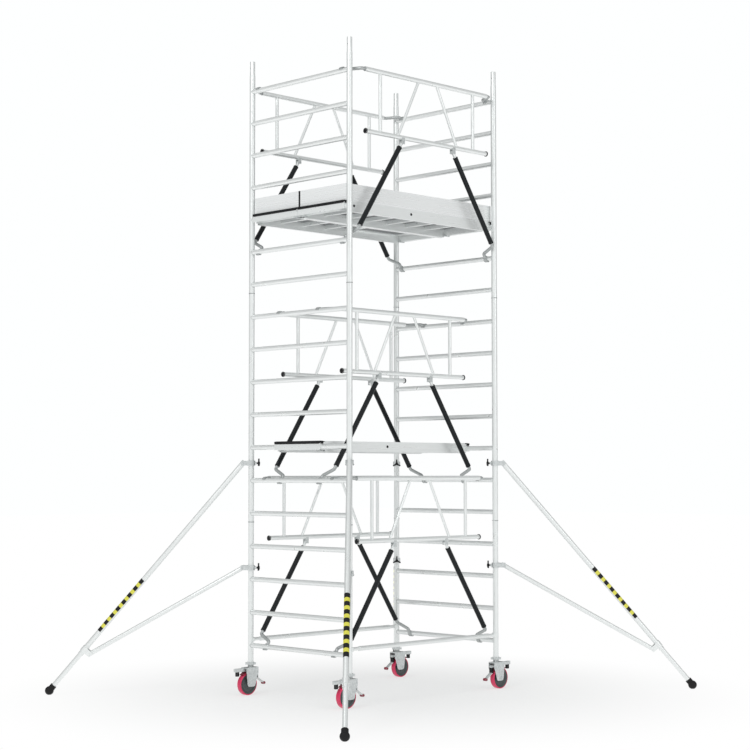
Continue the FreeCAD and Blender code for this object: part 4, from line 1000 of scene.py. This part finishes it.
CUFF = [
    (0, 0),
    (CUFF_RADIUS, 0),
    (CUFF_RADIUS, 0.040),
    (CUFF_RADIUS - 0.0015, 0.042),
    (CUFF_RADIUS - 0.0015, 0.045),
    (CUFF_RADIUS, 0.047),
    (CUFF_RADIUS, 0.051),
    (CUFF_RADIUS - 0.0015, 0.053),
    (CUFF_RADIUS - 0.0015, 0.056),
    (CUFF_RADIUS, 0.058),
    (CUFF_RADIUS, CUFF_LENGTH - 0.003),
    (CUFF_RADIUS - 0.003, CUFF_LENGTH),
    (0, CUFF_LENGTH),
]
for letter in CORNERS:
    foot = "stabiliser_foot_" + letter
    low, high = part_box(foot)
    way = Vector(joints["outrigger_extend_" + letter]["axis"]).normalized()
    ground = mounts["outrigger_foot_" + letter]["pos_m"]
    ball_centre = Vector((ground[0], ground[1], BOOT_HEIGHT))
    tube_length = (high.z - ball_centre.z - FOOT_TUBE_RADIUS * math.hypot(way.x, way.y)) / -way.z
    tube = move(bevelled_rod(FOOT_TUBE_RADIUS, tube_length), pointing(ball_centre, -way))
    finish_piece(foot + "_tube", *tube, tube_metal, foot, (foot,))
    ball = move(boot_ball(BOOT_RADIUS, ball_centre.z), Matrix.Translation((ball_centre.x, ball_centre.y, 0)))
    cuff = move(outward(*lathe(CUFF, 40)), pointing(ball_centre, -way))
    finish_piece(foot + "_boot", *joined([ball, cuff]), boot_rubber, foot, (foot,))
    print(foot, "tube length", round(tube_length, 4))

# %% [markdown]
# Striped tape warns people off the legs. It is a row of black bands with yellow bands between them, so two
# rows of rings with the same pitch, half a pitch apart, make it. Each ring is a flat closed strip that
# stands a third of a millimetre proud of the tube. A tree holds the rule, and each leg gets its own copy.

# %% The tape tree
tape_tree = Grower("striped_tape", {
    "Black Bands": "NodeSocketInt",
    "Black Width": "NodeSocketFloat",
    "Yellow Width": "NodeSocketFloat",
    "Tube Radius": "NodeSocketFloat",
    "Thickness": "NodeSocketFloat",
})


def tape_row(width_name, count, start, material):
    """One colour's rings along the tube."""
    ring = tape_tree.add("GeometryNodeCurvePrimitiveCircle", {
        "Radius": tape_tree.maths("ADD", tape_tree.input("Tube Radius"),
                                  tape_tree.maths("MULTIPLY", tape_tree.input("Thickness"), 0.5)),
    }, Resolution=48)
    strip = tape_tree.add("GeometryNodeCurvePrimitiveQuadrilateral", {
        "Width": tape_tree.input("Thickness"),
        "Height": tape_tree.input(width_name),
    }, mode="RECTANGLE")
    mesh = tape_tree.add("GeometryNodeCurveToMesh", {
        "Curve": ring.outputs["Curve"],
        "Profile Curve": strip.outputs["Curve"],
    })
    pitch = tape_tree.maths("ADD", tape_tree.input("Black Width"), tape_tree.input("Yellow Width"))
    line = tape_tree.add("GeometryNodeMeshLine", {
        "Count": count,
        "Start Location": tape_tree.vector(z=start),
        "Offset": tape_tree.vector(z=pitch),
    }, mode="OFFSET", count_mode="TOTAL")
    rings = tape_tree.add("GeometryNodeInstanceOnPoints", {
        "Points": line.outputs["Mesh"],
        "Instance": mesh.outputs["Mesh"],
    })
    real = tape_tree.add("GeometryNodeRealizeInstances", {"Geometry": rings.outputs["Instances"]})
    return tape_tree.add("GeometryNodeSetMaterial", {"Geometry": real.outputs["Geometry"]},
                         Material=material).outputs["Geometry"]


half_black = tape_tree.maths("MULTIPLY", tape_tree.input("Black Width"), 0.5)
half_pitch = tape_tree.maths("MULTIPLY", tape_tree.maths("ADD", tape_tree.input("Black Width"),
                                                         tape_tree.input("Yellow Width")), 0.5)
black_row = tape_row("Black Width", tape_tree.input("Black Bands"), half_black, tape_black)
yellow_row = tape_row("Yellow Width", tape_tree.maths("SUBTRACT", tape_tree.input("Black Bands"), 1.0),
                      tape_tree.maths("ADD", half_black, half_pitch), tape_yellow)
tape_tree.close(tape_tree.gather(black_row, yellow_row))

# %% Tape on each leg
LEG_PIVOT_OFFSET = 0.075
TAPE_START = {"a": 1.40, "b": 1.40, "c": 1.40, "d": 1.29}
for letter, (side_x, side_y) in CORNERS.items():
    swing = joints["outrigger_swing_" + letter]
    upright = Vector(swing["pos_m"])
    away = Vector((side_x, side_y, 0)).normalized()
    way = Vector(joints["outrigger_extend_" + letter]["axis"]).normalized()
    start = upright + away * LEG_PIVOT_OFFSET + way * TAPE_START[letter]
    grown = grow(tape_tree, {"Black Bands": 8, "Black Width": 0.044, "Yellow Width": 0.037,
                             "Tube Radius": 0.02415, "Thickness": 0.0004})
    leg = "stabiliser_leg_" + letter
    keep_grown(leg + "_tape", grown, pointing(start, way), leg)
print("tape on", len(TAPE_START), "legs")

# %% [markdown]
# The studio: a pale floor, a white sky, and soft lights. The floor also glows with painted light, more
# strongly away from the tower. Bare metal shows what is around it, so an all-white room would make the tubes
# vanish. The sky therefore falls off to grey on the far side for reflections, which draws a soft dark edge
# down each tube, while the background itself stays white.

# %% Floor and sky
FLOOR_HALF = 60.0
floor_net = Network("pale_floor_painted_glow")
patches = floor_net.noise(0.6)
tint = floor_net.blend(floor_net.spread(patches, 0, 1), (0.93, 0.95, 0.945), (0.95, 0.965, 0.96))
floor_net.wire(tint, "Base Color")
floor_net.set(Roughness=0.7)
# Painted light: the floor glows. An emission is mixed in at 0.55 near the tower and rises to 1.0 from 3.8 m
# out, so far off the floor is plain white and only close in does it show real shade.
distance = floor_net.add("ShaderNodeVectorMath", operation="LENGTH")
floor_net.tree.links.new(floor_net.place(), distance.inputs[0])
glow = floor_net.add("ShaderNodeMapRange", {"Value": distance.outputs["Value"]},
                     interpolation_type="SMOOTHSTEP")
for label, value in (("From Min", 0.5), ("From Max", 3.8), ("To Min", 0.55), ("To Max", 1.0)):
    glow.inputs[label].default_value = value
white = floor_net.add("ShaderNodeEmission", Strength=1.0)
sheet = floor_net.add("ShaderNodeMixShader", {"Fac": glow.outputs["Result"]})
floor_net.tree.links.new(floor_net.shader.outputs["BSDF"], sheet.inputs[1])
floor_net.tree.links.new(white.outputs["Emission"], sheet.inputs[2])
floor_net.tree.links.new(sheet.outputs["Shader"], floor_net.tree.nodes["Material Output"].inputs["Surface"])
floor_data = bpy.data.meshes.new("studio_floor")
floor_data.from_pydata([(-FLOOR_HALF, -FLOOR_HALF, 0), (FLOOR_HALF, -FLOOR_HALF, 0),
                        (FLOOR_HALF, FLOOR_HALF, 0), (-FLOOR_HALF, FLOOR_HALF, 0)], [], [(0, 1, 2, 3)])
floor_data.materials.append(floor_net.material)
floor = bpy.data.objects.new("studio_floor", floor_data)
bpy.context.collection.objects.link(floor)

world = bpy.data.worlds.new("studio_sky")
bpy.context.scene.world = world
world.use_nodes = True
sky = world.node_tree
background = sky.nodes["Background"]
spot = sky.nodes.new("ShaderNodeTexCoord")
turned_sky = sky.nodes.new("ShaderNodeVectorMath")
turned_sky.operation = "DOT_PRODUCT"
sky.links.new(spot.outputs["Generated"], turned_sky.inputs[0])
turned_sky.inputs[1].default_value = (math.sin(CAMERA_HEADING), math.cos(CAMERA_HEADING), -0.35)
fall = sky.nodes.new("ShaderNodeMapRange")
fall.inputs["From Min"].default_value = -0.6
fall.inputs["From Max"].default_value = 0.8
fall.inputs["To Min"].default_value = 0.72
fall.inputs["To Max"].default_value = 0.16
sky.links.new(turned_sky.outputs["Value"], fall.inputs["Value"])
seen_by = sky.nodes.new("ShaderNodeLightPath")
choose = sky.nodes.new("ShaderNodeMath")
choose.operation = "MAXIMUM"
sky.links.new(fall.outputs["Result"], choose.inputs[0])
sky.links.new(seen_by.outputs["Is Camera Ray"], choose.inputs[1])
sky.links.new(choose.outputs["Value"], background.inputs["Strength"])
background.inputs["Color"].default_value = (0.99, 1.0, 1.0, 1)

# %% Lights
def soft_light(name, place, target, width, power):
    """A large square lamp aimed at a point."""
    data = bpy.data.lights.new(name, "AREA")
    data.shape = "SQUARE"
    data.size = width
    data.energy = power
    lamp = bpy.data.objects.new(name, data)
    lamp.location = place
    lamp.rotation_euler = (Vector(target) - Vector(place)).to_track_quat("-Z", "Y").to_euler()
    bpy.context.collection.objects.link(lamp)


soft_light("key_light", (-11, -3, 11), (0, 0, 2.5), 5.0, 420)
soft_light("fill_light", (1, -13, 6), (0, 0, 2.5), 5.0, 120)
bpy.context.scene.view_settings.view_transform = "Standard"
print("lights and sky ready")
